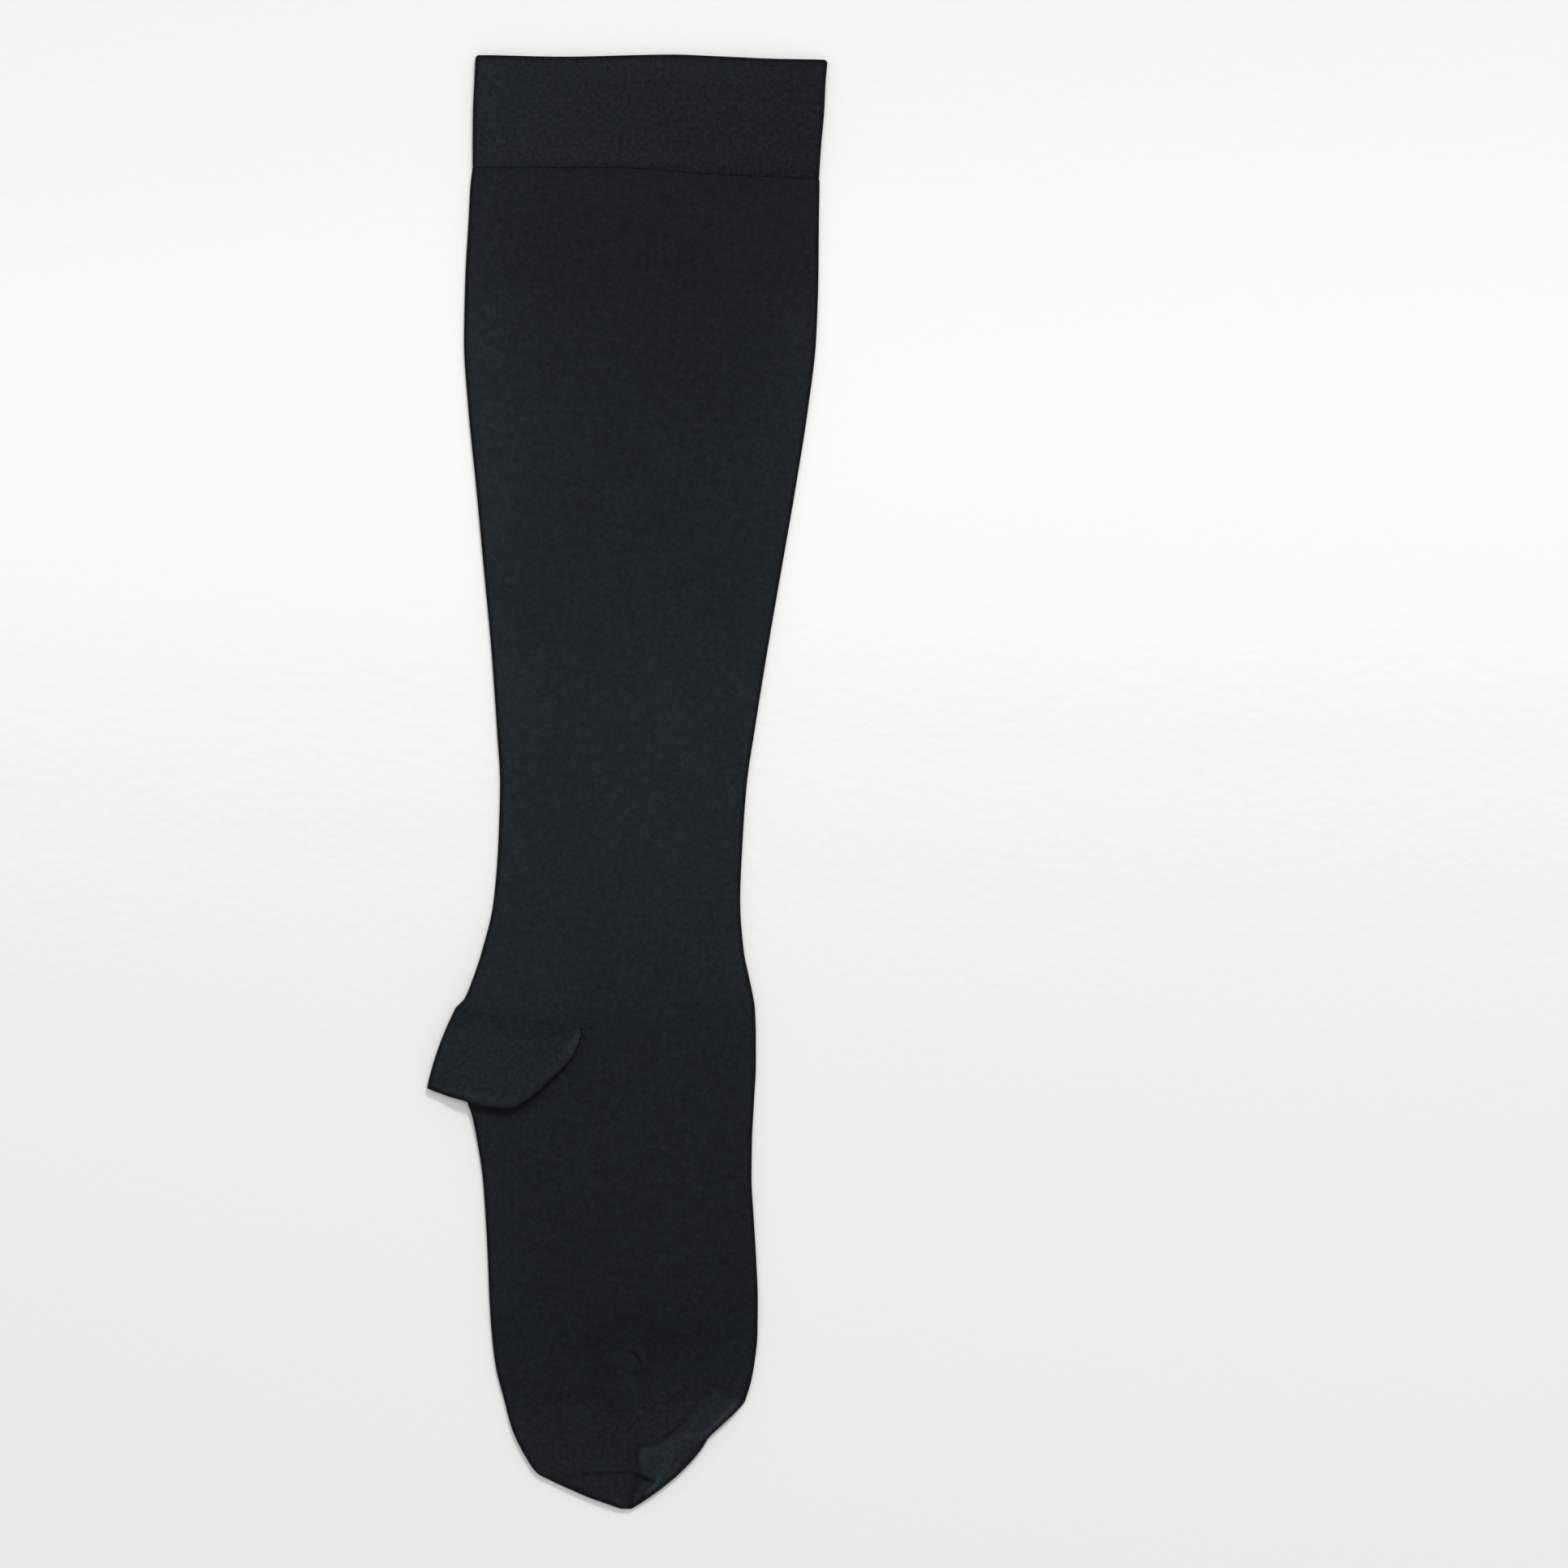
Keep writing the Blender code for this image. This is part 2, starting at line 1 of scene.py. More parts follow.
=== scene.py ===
"""The looks of a knee-high compression stocking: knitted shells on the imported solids, floor and light.

The stocking lies flat on its side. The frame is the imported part's: +X from the back of the leg to
its front, +Y from the toe to the hem, +Z up from the surface that it lies on, with the origin at
the middle of the underside. Sizes are in millimetres, and the meshes are made in metres.
"""

import math
from collections import namedtuple

import bmesh
import bpy
import numpy as np
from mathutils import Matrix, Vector


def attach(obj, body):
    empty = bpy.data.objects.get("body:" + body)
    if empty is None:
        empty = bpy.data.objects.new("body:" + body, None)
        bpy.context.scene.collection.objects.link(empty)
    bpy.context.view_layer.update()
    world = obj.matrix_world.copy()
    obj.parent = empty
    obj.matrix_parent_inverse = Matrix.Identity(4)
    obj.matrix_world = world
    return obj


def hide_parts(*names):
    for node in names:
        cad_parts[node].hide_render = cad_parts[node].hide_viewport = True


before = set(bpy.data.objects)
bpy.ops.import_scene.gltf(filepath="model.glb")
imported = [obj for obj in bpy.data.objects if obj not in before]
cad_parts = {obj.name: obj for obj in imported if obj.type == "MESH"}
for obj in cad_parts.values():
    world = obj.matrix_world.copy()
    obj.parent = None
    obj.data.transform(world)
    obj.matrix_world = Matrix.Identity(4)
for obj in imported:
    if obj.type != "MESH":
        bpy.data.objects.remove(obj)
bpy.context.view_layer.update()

MM = 0.001

# How thick the knit is, and how high it lies
SEAM_GAP = 0.02
SEAM_SLANT = 0.12
LEG_WALL = 0.8
LEG_HEIGHT = 2.3
BAND_WALL = 1.3
BAND_HEIGHT = 3.2
BAND_SEAM_ROUND = 0.45
BAND_ROLL_BACK = 0.6
BAND_ROLL_FRONT = 0.95
BAND_ROLL_START = -20.0
BAND_ROLL_RUN = 60.0
BAND_ROLL_WIDTH = 5.0
SEAM_DIP = 0.25
SEAM_DIP_WIDTH = 1.6
FOOT_HEIGHT = 2.2
TOE_WALL = 0.8
TOE_HEIGHT = 3.1
TOE_CAVITY = 0.4
TOE_RISE = 12.0
FOLD_START = 0.35
TIP_ROUND = 1.8
FACET_RISE = 0.7
FACET_WIDTH = 13.0
EDGE_SINK = 0.25
EDGE_SINK_WIDTH = 5.0

# The folded heel: a cuff of two layers above the foot and two below it
FLAP_WALL = 1.2
FLAP_WALL_BELOW = 0.9
FLAP_TIP_GAP = 0.8
FLAP_DROOP_START = 1.5
FLAP_DROOP_WIDTH = 10.0
FLAP_SETTLE = 26.0
FLAP_SETTLE_BELOW = 0.6 * FLAP_SETTLE
FOOT_LIFT = 1.1
LEG_RAMP = 46.0
GORE_FADE_START = -13.0
GORE_FADE = 7.0
VALLEY_DEPTH = 0.2
VALLEY_WIDTH = 4.0

# Resolution: points across each layer and inside each fold, and distances between rings
Detail = namedtuple("Detail", "layer fold")
LEG_DETAIL = Detail(136, 10)
TOE_DETAIL = Detail(220, 12)
RING_STEP = 1.7
BAND_RING_STEP = 0.7 * RING_STEP
HIDDEN_RING_STEP = 3 * RING_STEP
INNER_RING_STEP = 8 * RING_STEP
FINE_RING_STEP = 0.7
TIP_RING_STEP = 0.6 * FINE_RING_STEP
SEAM_TURN_ANGLES = (0, 30, 60)
TIP_ANGLES = (12, 24, 36, 48, 60, 72)
HEM_TURN_STEPS = 10
SHARP_ANGLE = 50.0

# The largest share of the width that a fold takes, a crease's reach in widths, and what is left
# of it at its ends
FOLD_ROOM = 0.3
CREASE_REACH = 3.0
CREASE_END = 0.08

# How shapes are measured: rounds to find an edge, a step along it, and places across the stocking
EDGE_ROUNDS = 6
SLOPE_STEP = 0.5
ACROSS = np.linspace(-40, 40, 9)
AREA_STEPS = 200

# Knit: stitches round the tube, and the height of a course
WALES_ROUND = 420
COURSE = 0.42


def rows_of(kind, *rows):
    return tuple(kind(*row) for row in rows)


# One row for each place where the flat stocking was measured: its back edge and its front edge
Width = namedtuple("Width", "place y back front")
BAND_WIDTHS = rows_of(
    Width,
    ("hem", 267.0, -56.1, 74.1),
    ("upper band", 259.0, -56.5, 73.4),
    ("middle of band", 247.0, -57.0, 72.8),
    ("lower band", 235.0, -57.1, 71.7),
    ("band seam", 223.0, -57.1, 70.9),
)
LEG_WIDTHS = rows_of(
    Width,
    ("band seam", 226.5, -57.2, 70.9),
    ("under the band", 221.0, -57.9, 71.1),
    ("below the knee", 208.0, -58.6, 70.9),
    ("upper calf", 187.0, -59.8, 70.7),
    ("widest calf", 163.0, -60.3, 69.8),
    ("lower calf", 139.0, -58.8, 67.0),
    ("shin", 109.0, -55.8, 62.3),
    ("middle shin", 79.0, -53.0, 57.1),
    ("lower shin", 49.0, -50.2, 51.9),
    ("above the ankle", 19.0, -48.1, 47.1),
    ("upper ankle", 0.0, -47.0, 44.3),
    ("ankle", -20.0, -47.5, 42.8),
    ("below the ankle", -44.0, -49.4, 41.8),
    ("upper heel", -62.0, -53.6, 43.1),
    ("heel", -72.0, -56.9, 45.1),
    ("above the seam", -80.2, -60.4, 46.8),
    ("heel seam", -83.0, -63.3, 47.2),
    ("instep seam", -92.0, -66.5, 47.6),
)
FOOT_WIDTHS = rows_of(
    Width,
    ("heel seam", -83.0, -61.0, 47.2),
    ("instep seam", -92.0, -60.8, 47.6),
    ("under the flap", -104.0, -60.2, 47.6),
    ("edge of the flap", -118.0, -59.0, 46.9),
    ("below the flap", -122.0, -57.6, 46.7),
    ("arch", -131.0, -55.7, 46.2),
    ("middle of arch", -146.0, -53.4, 46.0),
    ("upper foot", -161.0, -52.3, 46.8),
    ("middle of foot", -176.0, -51.5, 47.7),
    ("ball of foot", -191.0, -50.9, 48.3),
    ("below the ball", -203.0, -50.1, 48.2),
    ("base of toes", -215.0, -48.7, 47.0),
    ("toe seam", -228.0, -45.5, 43.7),
    ("inside the toe", -233.0, -44.1, 39.7),
)
TOE_WIDTHS = rows_of(
    Width,
    ("base of toes", -215.0, -48.7, 47.0),
    ("toe seam", -228.0, -45.5, 43.8),
    ("below the seam", -232.0, -44.5, 40.6),
    ("little toe", -238.9, -42.5, 33.4),
    ("notch", -242.3, -41.1, 29.9),
    ("below the notch", -245.0, -39.8, 28.3),
    ("toes", -249.0, -37.6, 25.3),
    ("back corner", -255.0, -33.4, 19.6),
    ("below the corner", -258.0, -27.9, 16.2),
    ("lower toe", -261.2, -20.9, 12.2),
    ("near the tip", -264.0, -14.4, 8.3),
    ("above the tip", -267.0, -6.0, 3.8),
    ("tip", -268.3, -2.2, 1.5),
)

# Lines across the stocking, as (x, y) from the back edge to the front edge
HEM_LINE = (
    (-56.2, 268.0), (-54.8, 268.7), (-24, 268.1), (4, 268.7), (16, 268.9), (37, 268.1), (56, 267.3),
    (72.8, 267.0), (74.2, 266.2)
)
BAND_SEAM_LINE = ((-57, 227.2), (-4, 227.1), (12, 226.2), (30, 224.7), (71, 222.9))
HEEL_SEAM_LINE = ((-63, -83.0), (-39, -87.0), (-15.6, -90.7), (10, -92.0), (48, -92.0))
TOE_SEAM_LINE = ((-46, -231.0), (-16, -228.6), (-4, -231.6), (23, -222.6), (36, -224.6), (44, -228.0))
TIP_Y = -268.3
GORE_END = (-15.6, -90.7)

# The cuff: one row for each section, from where it leaves the heel seam to its rim, and how far
# the rim stands off the foot
Flap = namedtuple("Flap", "place seam_x rim_x rim_y lift")
FLAP_SECTIONS = rows_of(
    Flap,
    ("end of the gore", -17.6, -16.8, -93.4, 0.3),
    ("top of the curve", -19.6, -17.6, -96.2, 0.5),
    ("upper curve", -22.0, -18.9, -99.2, 0.7),
    ("curve", -25.0, -20.9, -102.5, 0.9),
    ("middle of the curve", -28.3, -24.2, -106.1, 1.1),
    ("lower curve", -31.8, -28.4, -110.1, 1.2),
    ("below the curve", -35.2, -33.1, -114.6, 1.4),
    ("above the corner", -38.2, -37.8, -118.0, 1.6),
    ("corner", -40.4, -40.6, -119.9, 1.7),
    ("below the corner", -42.8, -43.6, -120.5, 1.7),
    ("rim", -46.6, -48.4, -120.2, 1.6),
    ("middle of the rim", -50.5, -54.0, -119.2, 1.4),
    ("edge of the foot", -54.0, -60.0, -117.5, 1.0),
    ("before the fold", -57.3, -66.2, -115.8, 0.5),
)
FLAP_FOLD_TOP = (-63.3, -83.02)
FLAP_TIP = (-74.0, -112.8)
FLAP_FOLD_LENGTH = np.linalg.norm(np.subtract(FLAP_TIP, FLAP_FOLD_TOP))
FLAP_FOLD_DIRECTION = np.subtract(FLAP_TIP, FLAP_FOLD_TOP) / FLAP_FOLD_LENGTH
FLAP_FOLD_BULGE = 1.1
FLAP_SHORTER_BELOW = 1.2
FLAP_SHORTER_SHARE = 0.2
FLAP_FOLD_INSIDE = 3.0
FLAP_SECTION_STEPS = 7
FLAP_LENGTH_STEPS = 40
FLAP_TURN_STEPS = 20
FLAP_APPROACH_STEPS = 6
FLAP_RIM_ROLL = 0.6
FLAP_RIM_ROLL_START = 5.4
FLAP_RIM_ROLL_WIDTH = 3.6
FLAP_EDGE_POINTS = 9
RIM_STEPS = 10
RIM_FLATNESS = 0.5
RIM_LINE = [(row.rim_x, row.rim_y) for row in FLAP_SECTIONS]

# The largest folds of the toe: a groove along a path, and a step down (or up, if negative) to
# the left of it, which levels out over the settle width
Fold = namedtuple("Fold", "place groove step width settle path")
DIAGONAL_PATH = (
    (28, -225), (24, -230.8), (21, -235.6), (17, -239.4), (12.8, -242.5), (8.8, -244.6), (4.5, -244.8)
)
SHORT_PATH = ((5, -244.5), (3.2, -248), (3.5, -251), (4.3, -254))
CROSS_PATH = (
    (10.5, -258), (5, -256.8), (3, -255.3), (-1, -254.6), (-10, -255), (-22, -256), (-28, -256.6)
)
TIP_PATH = ((3.3, -257.5), (2.5, -261), (1.25, -264), (1.1, -267.5))
FRONT_PATH = ((14, -253.5), (12, -256.5), (10, -260), (7.5, -262.5), (6, -264))
FACET_PATH = DIAGONAL_PATH + SHORT_PATH[1:] + FRONT_PATH[-1:]
TOE_FOLDS = rows_of(
    Fold,
    ("diagonal fold", 0.25, -0.1, 1.1, 8.0, DIAGONAL_PATH),
    ("short crease", 0.35, 0.0, 1.0, 6.0, SHORT_PATH),
    ("cross fold", 0.16, 0.25, 1.0, 12.0, CROSS_PATH),
    ("tip crease", 0.25, 0.0, 1.0, 6.0, TIP_PATH),
    ("front ridge", -0.45, 0.0, 1.4, 6.0, FRONT_PATH),
)

# Creases, which fade out at both ends: a depth (a ridge, if negative) along a path, and how much
# darker (or lighter, if negative) the knit is painted there: painted shade in folds, painted highlights
# on ridges and rims
Crease = namedtuple("Crease", "place depth width shade path")
CREASES_ABOVE = rows_of(
    Crease,
    # Painted shade in the toe's folds, and a painted highlight on its front ridge
    ("in the diagonal fold", 0.0, 0.7, 0.34, DIAGONAL_PATH[1:]),
    ("in the short crease", 0.0, 1.0, 0.42, SHORT_PATH),
    ("in the cross fold", 0.10, 0.8, 0.48, CROSS_PATH[2:6]),
    ("in the tip crease", 0.0, 0.95, 0.55, TIP_PATH),
    ("on the front ridge", 0.0, 1.0, -0.80, FRONT_PATH),
    ("wedge", 0.42, 1.05, 0.92, ((2.2, -254.6), (4.4, -256.4), (7.6, -257.3), (11, -258.1))),
    # Painted highlights along the toe's rim and on its front facet
    ("bright rim of the toe", -0.20, 0.9, -0.90, (
        (40.2, -229.3), (36.4, -233.3), (31.2, -238.3), (28.2, -241.4)
    )),
    ("bright rim above it", -0.1, 2.4, -0.16, ((42, -227), (37, -232), (30, -238))),
    ("light band in the facet", -0.05, 2.0, -0.12, (
        (27, -233), (23.8, -238.2), (19.7, -242.1), (14.6, -245.9)
    )),
    ("below the wedge", 0.0, 1.2, 0.28, ((4.0, -258.2), (7.0, -259.2), (9.4, -260.0))),
    ("light strip under the cross fold", -0.06, 2.0, -0.19, ((-20, -259.6), (-10, -259.2), (-3, -258.6))),
    ("back of the toes", 0.0, 1.8, -0.14, (
        (-41, -237), (-38.3, -243), (-35.6, -248), (-32.6, -253.6)
    )),
    # Painted shade in the pucker, and painted light on the ring beside it
    ("pucker", 0.45, 0.55, 1.00, (
        (0.4, -210.1), (2.3, -210.6), (3.9, -211.9), (4.8, -213.6), (4.9, -216.0)
    )),
    ("ring beside the pucker", -0.22, 0.9, -0.85, ((3.8, -209.1), (5.9, -211.2), (6.6, -214.8))),
    ("dark right of the pucker", 0.10, 1.8, 0.22, ((8.4, -208.2), (9.4, -211.5), (9.2, -215.2))),
    ("dark knit above the toes", 0.05, 3.0, 0.10, ((8, -202.5), (18, -200.4), (30, -200), (36, -200.6))),
    ("dark arch over the pucker", 0.08, 2.6, 0.13, (
        (-11.5, -216), (-11.8, -208), (-9, -203), (-3, -200.5), (4, -201), (11, -204), (14, -209)
    )),
    ("knot in the pucker", -0.20, 1.6, -0.32, ((1.6, -212.6), (2.6, -216.4))),
    ("light knit left of the pucker", -0.06, 3.3, -0.31, ((-2.4, -210.0), (-1.6, -214.5))),
    ("light strip over the cross fold", -0.06, 1.7, -0.16, ((-16, -252.8), (-8, -252.4), (2, -251.8))),
    # Painted shadow on the leg below the band's thicker sewn edge
    ("under the band", 0.0, 1.1, 0.31, ((6, 225.8), (30, 224.1), (52, 223.2), (71, 222.4), (88, 221.9))),
    ("under the middle of the band", 0.0, 1.9, 0.26, ((-26, 226.4), (0, 226.3), (20, 225.3))),
    ("under the back of the band", 0.0, 1.7, 0.14, ((-70, 226.4), (-40, 226.4), (-14, 226.4))),
    ("arc under the pucker", 0.28, 1.0, 0.34, ((0.2, -217.6), (3, -218.9), (6, -217.3), (9, -215.6))),
    ("left of the arc", 0.12, 1.2, 0.16, ((-7, -217.4), (-2, -216.8), (1, -217.6))),
    ("upper streak", -0.22, 1.0, -0.26, ((1.6, -219.8), (2.6, -224.6), (3.4, -227))),
    ("middle streak", -0.20, 0.9, -0.26, ((3.0, -228), (3.8, -231.6), (5.2, -234.6))),
    ("lower streak", -0.20, 0.9, -0.24, ((5.6, -235.2), (7.2, -238.8))),
    ("left arc of the seam", 0.18, 1.2, 0.24, (
        (-10.5, -224.6), (-7.4, -228), (-5, -231.6), (-1.6, -232.8), (2, -231)
    )),
    ("left bump", -0.20, 2.6, -0.12, ((-7, -222.5), (-3.6, -226.4))),
    ("seam at the left", 0.08, 1.4, 0.18, ((-38, -226.9), (-30, -227.0), (-22, -226.6), (-14, -228.3))),
    ("smudge at the left", 0.06, 1.5, 0.12, ((-29, -225.6), (-25, -228.2))),
    ("seam at the right", 0.14, 1.1, 0.20, ((14.4, -227.2), (18, -226.9), (21, -226), (24.5, -223.8))),
    ("right bump", -0.15, 2.0, -0.12, ((14.5, -224.8), (19, -224.0))),
    ("front bump", -0.15, 1.6, -0.20, ((25.6, -222.4), (28, -223.6))),
    ("small arc at the front", 0.16, 1.1, 0.26, ((31, -221.8), (33.6, -223.8), (36, -226.4))),
    ("light spot at the front", -0.12, 1.4, -0.24, ((31, -226), (34.6, -227.2))),
    ("dark spot above the seam", 0.08, 1.6, 0.14, ((14.6, -218.5), (18.5, -221.5))),
    ("dark fold above the seam", 0.08, 1.4, 0.14, ((20, -220.5), (25.5, -221.4))),
    ("ridge at the back corner", -0.10, 1.2, -0.14, ((-27, -246.5), (-24.5, -250.5), (-20, -253.6))),
    ("dip beside the short crease", 0.10, 0.9, 0.16, ((1.6, -247.4), (0.4, -250), (1.4, -252.6))),
    ("end of the gore", 0.10, 1.4, 0.34, ((-16.0, -92.2), (-15.7, -94.6), (-15.6, -97.6))),
    ("back of the ankle line", 0.08, 2.0, 0.09, ((-48, -54.6), (-36, -54.8), (-24, -54.2))),
    ("front of the ankle line", 0.08, 2.0, 0.09, ((16, -54.8), (30, -54.6), (43, -54.0))),
    ("light knit left of the diagonal", -0.08, 2.4, -0.12, (
        (25.5, -227.5), (22.5, -231), (19.3, -234.6), (15.4, -237.8), (11.5, -240.6), (8, -242.4),
        (4, -242.8)
    )),
    ("light fold left of the low diagonal", -0.08, 1.1, -0.14, (
        (14.5, -239.8), (11.8, -240.9), (9.9, -241.8), (8, -242.7), (5, -243)
    )),
    ("light knit beside the tip crease", 0.0, 1.5, -0.42, (
        (5.4, -258.4), (4.6, -261.2), (3.4, -264.2), (3.1, -266)
    )),
    ("front of the toes", 0.06, 2.6, 0.13, (
        (27, -242.8), (23.0, -248.2), (18.6, -252.4), (16.2, -255.2)
    )),
    ("calf line", 0.04, 2.2, 0.02, ((-59, 112), (-28, 110), (10, 111), (62, 109))),
    ("shin line", -0.05, 1.8, -0.04, ((-50, 21), (-34, 19.5), (-14, 20))),
    ("instep line", 0.05, 2.0, 0.03, ((-4, -98), (10, -101), (26, -100), (40, -103))),
)
CREASES_BELOW = rows_of(
    Crease,
    ("cross crease", 0.45, 1.2, 0.3, ((-30, -244), (-12, -247), (4, -246), (20, -242))),
    ("toe crease", 0.40, 1.1, 0.3, ((6, -247), (3, -254), (4, -262))),
    ("diagonal crease", 0.40, 1.2, 0.3, ((-34, -232), (-26, -239), (-14, -246))),
    ("pucker", 0.35, 0.9, 0.4, ((4, -212), (8, -214), (9, -218))),
    ("arc", 0.30, 1.2, 0.3, ((-2, -219), (6, -221), (14, -218))),
    ("ankle crease", 0.20, 2.2, 0.1, ((-44, -52), (-12, -55), (18, -53), (38, -50))),
    ("instep crease", 0.22, 2.0, 0.1, ((2, -100), (16, -104), (40, -103))),
)
RIM_FOLD_PATH = (
    (-20.9, -96), (-23.9, -100.7), (-28.1, -104.9), (-32.4, -108.1), (-37.4, -112.4), (-42.0, -116.2),
    (-46, -117.2), (-55, -116.0), (-63, -113.4), (-68.5, -111.8), (-72.5, -110.4)
)
CREASES_ON_HEEL = rows_of(
    Crease,
    ("streak beside the fold", -0.22, 1.2, -0.16, ((-67.2, -96.4), (-64.6, -98.8), (-61, -101.6))),
    # Painted highlights on the cuff's rim
    ("upper end of the rim", -0.20, 1.8, -0.95, ((-17.2, -90.6), (-18.2, -94.0), (-20.2, -98.8))),
    ("bright fold along the rim", 0.0, 1.3, -0.24, RIM_FOLD_PATH),
    ("light back of the cuff", 0.0, 1.6, -0.12, (
        (-65.2, -91), (-67.4, -98), (-69.6, -105), (-71.4, -110)
    )),
    ("dip under the seam", 0.06, 2.2, 0.05, ((-52, -91.5), (-44, -92.2), (-38, -92.6))),
    ("dip above the seam", 0.06, 2.0, 0.06, ((-58.5, -84.5), (-54, -86.2))),
    # Painted shade on the rolled side of the cuff's rim, where it turns away from the light
    ("along the rim", 0.0, 1.2, 0.31, (
        (-19.4, -99.4), (-22.6, -103.8), (-25.4, -106.7), (-31, -112), (-36, -116.2),
        (-40.2, -119), (-44, -119.9), (-49, -119.6), (-55, -118.6), (-62, -116.6)
    )),
    ("light fold under the seam", -0.12, 2.0, -0.10, (
        (-60, -95.6), (-45, -95.8), (-30, -96.2), (-20, -96)
    )),
)

# The knit isn't quite flat: broad soft waves, as height, length, direction in degrees and phase
Wave = namedtuple("Wave", "height length direction phase")
WAVES = rows_of(
    Wave,
    (0.07, 83.0, 74.0, 0.4),
    (0.05, 47.0, 101.0, 2.2),
    (0.035, 31.0, 38.0, 4.1),
    (0.02, 17.0, 142.0, 1.0),
)


def lerp(a, b, t):
    return a + (b - a) * t


def ease(t):
    """Runs smoothly from 0 at t = 0 to 1 at t = 1, and stays there on both sides."""
    t = np.clip(t, 0.0, 1.0)
    return t * t * (3.0 - 2.0 * t)


def bell(distance, width):
    """1 in the middle, fading away on both sides."""
    return np.exp(-((distance / width) ** 2))


def smooth(keys, values, at):
    """Values at places on the smooth curve through keys and values, with no overshoot."""
    keys, values = np.asarray(keys, float), np.asarray(values, float)
    if keys[0] > keys[-1]:
        keys, values = keys[::-1], values[::-1]
    rise = np.diff(values) / np.diff(keys)
    before, after = np.append(rise[0], rise), np.append(rise, rise[-1])
    same = before * after > 0.0
    slope = np.where(same, 2.0 * before * after / np.where(same, before + after, 1.0), 0.0)
    at = np.clip(at, keys[0], keys[-1])
    i = np.clip(np.searchsorted(keys, at, side="right") - 1, 0, len(keys) - 2)
    span = keys[i + 1] - keys[i]
    t = (at - keys[i]) / span
    start = values[i] * (1 + 2 * t) * (1 - t) ** 2 + slope[i] * span * t * (1 - t) ** 2
    end = values[i + 1] * t * t * (3 - 2 * t) + slope[i + 1] * span * t * t * (t - 1)
    return start + end


def line_y(line, x):
    return smooth([p[0] for p in line], [p[1] for p in line], x)


def column(rows, name):
    return [getattr(row, name) for row in rows]


def at_y(rows, name, y):
    """A column of rows for places along the stocking, read smoothly at y."""
    return smooth(column(rows, "y"), column(rows, name), y)


def width_at(widths, y):
    """The back and front edges at y."""
    return at_y(widths, "back", y), at_y(widths, "front", y)


def path_place(path, x, y):
    """Points' distance from a path, their side of it (+ to its left) and their share of its way."""
    x, y = np.broadcast_arrays(np.asarray(x, float), np.asarray(y, float))
    best = np.full(x.shape, np.inf)
    side, share = np.zeros(x.shape), np.zeros(x.shape)
    whole = sum(math.dist(a, b) for a, b in zip(path, path[1:]))
    done = 0.0
    for (ax, ay), (bx, by) in zip(path, path[1:]):
        length = math.dist((ax, ay), (bx, by))
        along = ((x - ax) * (bx - ax) + (y - ay) * (by - ay)) / length
        near = np.clip(along, 0.0, length)
        distance = np.hypot(x - lerp(ax, bx, near / length), y - lerp(ay, by, near / length))
        closer = distance < best
        best = np.where(closer, distance, best)
        side = np.where(closer, np.sign((bx - ax) * (y - ay) - (by - ay) * (x - ax)), side)
        share = np.where(closer, (done + near) / whole, share)
        done += length
    return best, side, share


# Relief of the knit

def nearby(path, reach, x, y):
    """Whether some of the points are within reach of a path's box."""
    px, py = [p[0] for p in path], [p[1] for p in path]
    in_x = (x > min(px) - reach) & (x < max(px) + reach)
    return bool(np.any(in_x & (y > min(py) - reach) & (y < max(py) + reach)))


def crease_at(crease, x, y):
    """A crease's strength: 1 in the middle of its path, fading to both ends and to both sides."""
    distance, _, share = path_place(crease.path, x, y)
    fade = np.sqrt(np.clip(4.0 * share * (1.0 - share), CREASE_END, 1.0))
    return fade * bell(distance, crease.width)


def crease_depth(creases, x, y):
    """How far the creases press the surface in."""
    depth = 0.0 * x
    for crease in creases:
        if crease.depth and nearby(crease.path, CREASE_REACH * crease.width, x, y):
            depth = depth + crease.depth * crease_at(crease, x, y)
    return depth


def painted_crease_shading(creases, x, y):
    """Painted shade in the creases and painted highlights on the ridges: 1 is as light as elsewhere."""
    tone = 1.0 + 0.0 * x
    for crease in creases:
        if nearby(crease.path, CREASE_REACH * crease.width, x, y):
            tone = tone * (1.0 - crease.shade * crease_at(crease, x, y))
    return tone


def waves(x, y):
    height = 0.0
    for wave in WAVES:
        turn = math.radians(wave.direction)
        along = x * math.cos(turn) + y * math.sin(turn)
        height = height + wave.height * np.sin(2.0 * math.pi * along / wave.length + wave.phase)
    return height


# Heights of the layers over the floor

def upper_layer(widths, height, x, y):
    """A layer's height: pressed a little flatter beside both folds, and with the knit's relief."""
    back, front = width_at(widths, y)
    inside = np.minimum(x - back, front - x)
    relief = waves(x, y) - crease_depth(CREASES_ABOVE, x, y)
    return height - EDGE_SINK * bell(inside, EDGE_SINK_WIDTH) + ease(inside / EDGE_SINK_WIDTH) * relief


def beyond_flap(x, y):
    """How far a point of the foot lies outside the cuff's rim; 0 or less is under the cuff."""
    corner = next((row.rim_x, row.rim_y) for row in FLAP_SECTIONS if row.place == "corner")
    distances = []
    for (ax, ay), (bx, by) in ((FLAP_TIP, corner), (corner, GORE_END)):
        length = math.hypot(bx - ax, by - ay)
        distances.append(((x - ax) * (by - ay) - (y - ay) * (bx - ax)) / length)
    return np.maximum(*distances)


def foot_bottom(x, y):
    lift = FOOT_LIFT * (1.0 - ease(beyond_flap(x, y) / FLAP_SETTLE_BELOW))
    return lift + crease_depth(CREASES_BELOW, x, y)


def foot_top(x, y):
    lift = FOOT_LIFT * (1.0 - ease(beyond_flap(x, y) / FLAP_SETTLE))
    return upper_layer(FOOT_WIDTHS, lift + FOOT_HEIGHT, x, y)


def behind_gore(x):
    """1 where the heel seam has the cuff below it, fading to 0 in front of the gore's end."""
    return ease((GORE_FADE_START - x) / GORE_FADE)


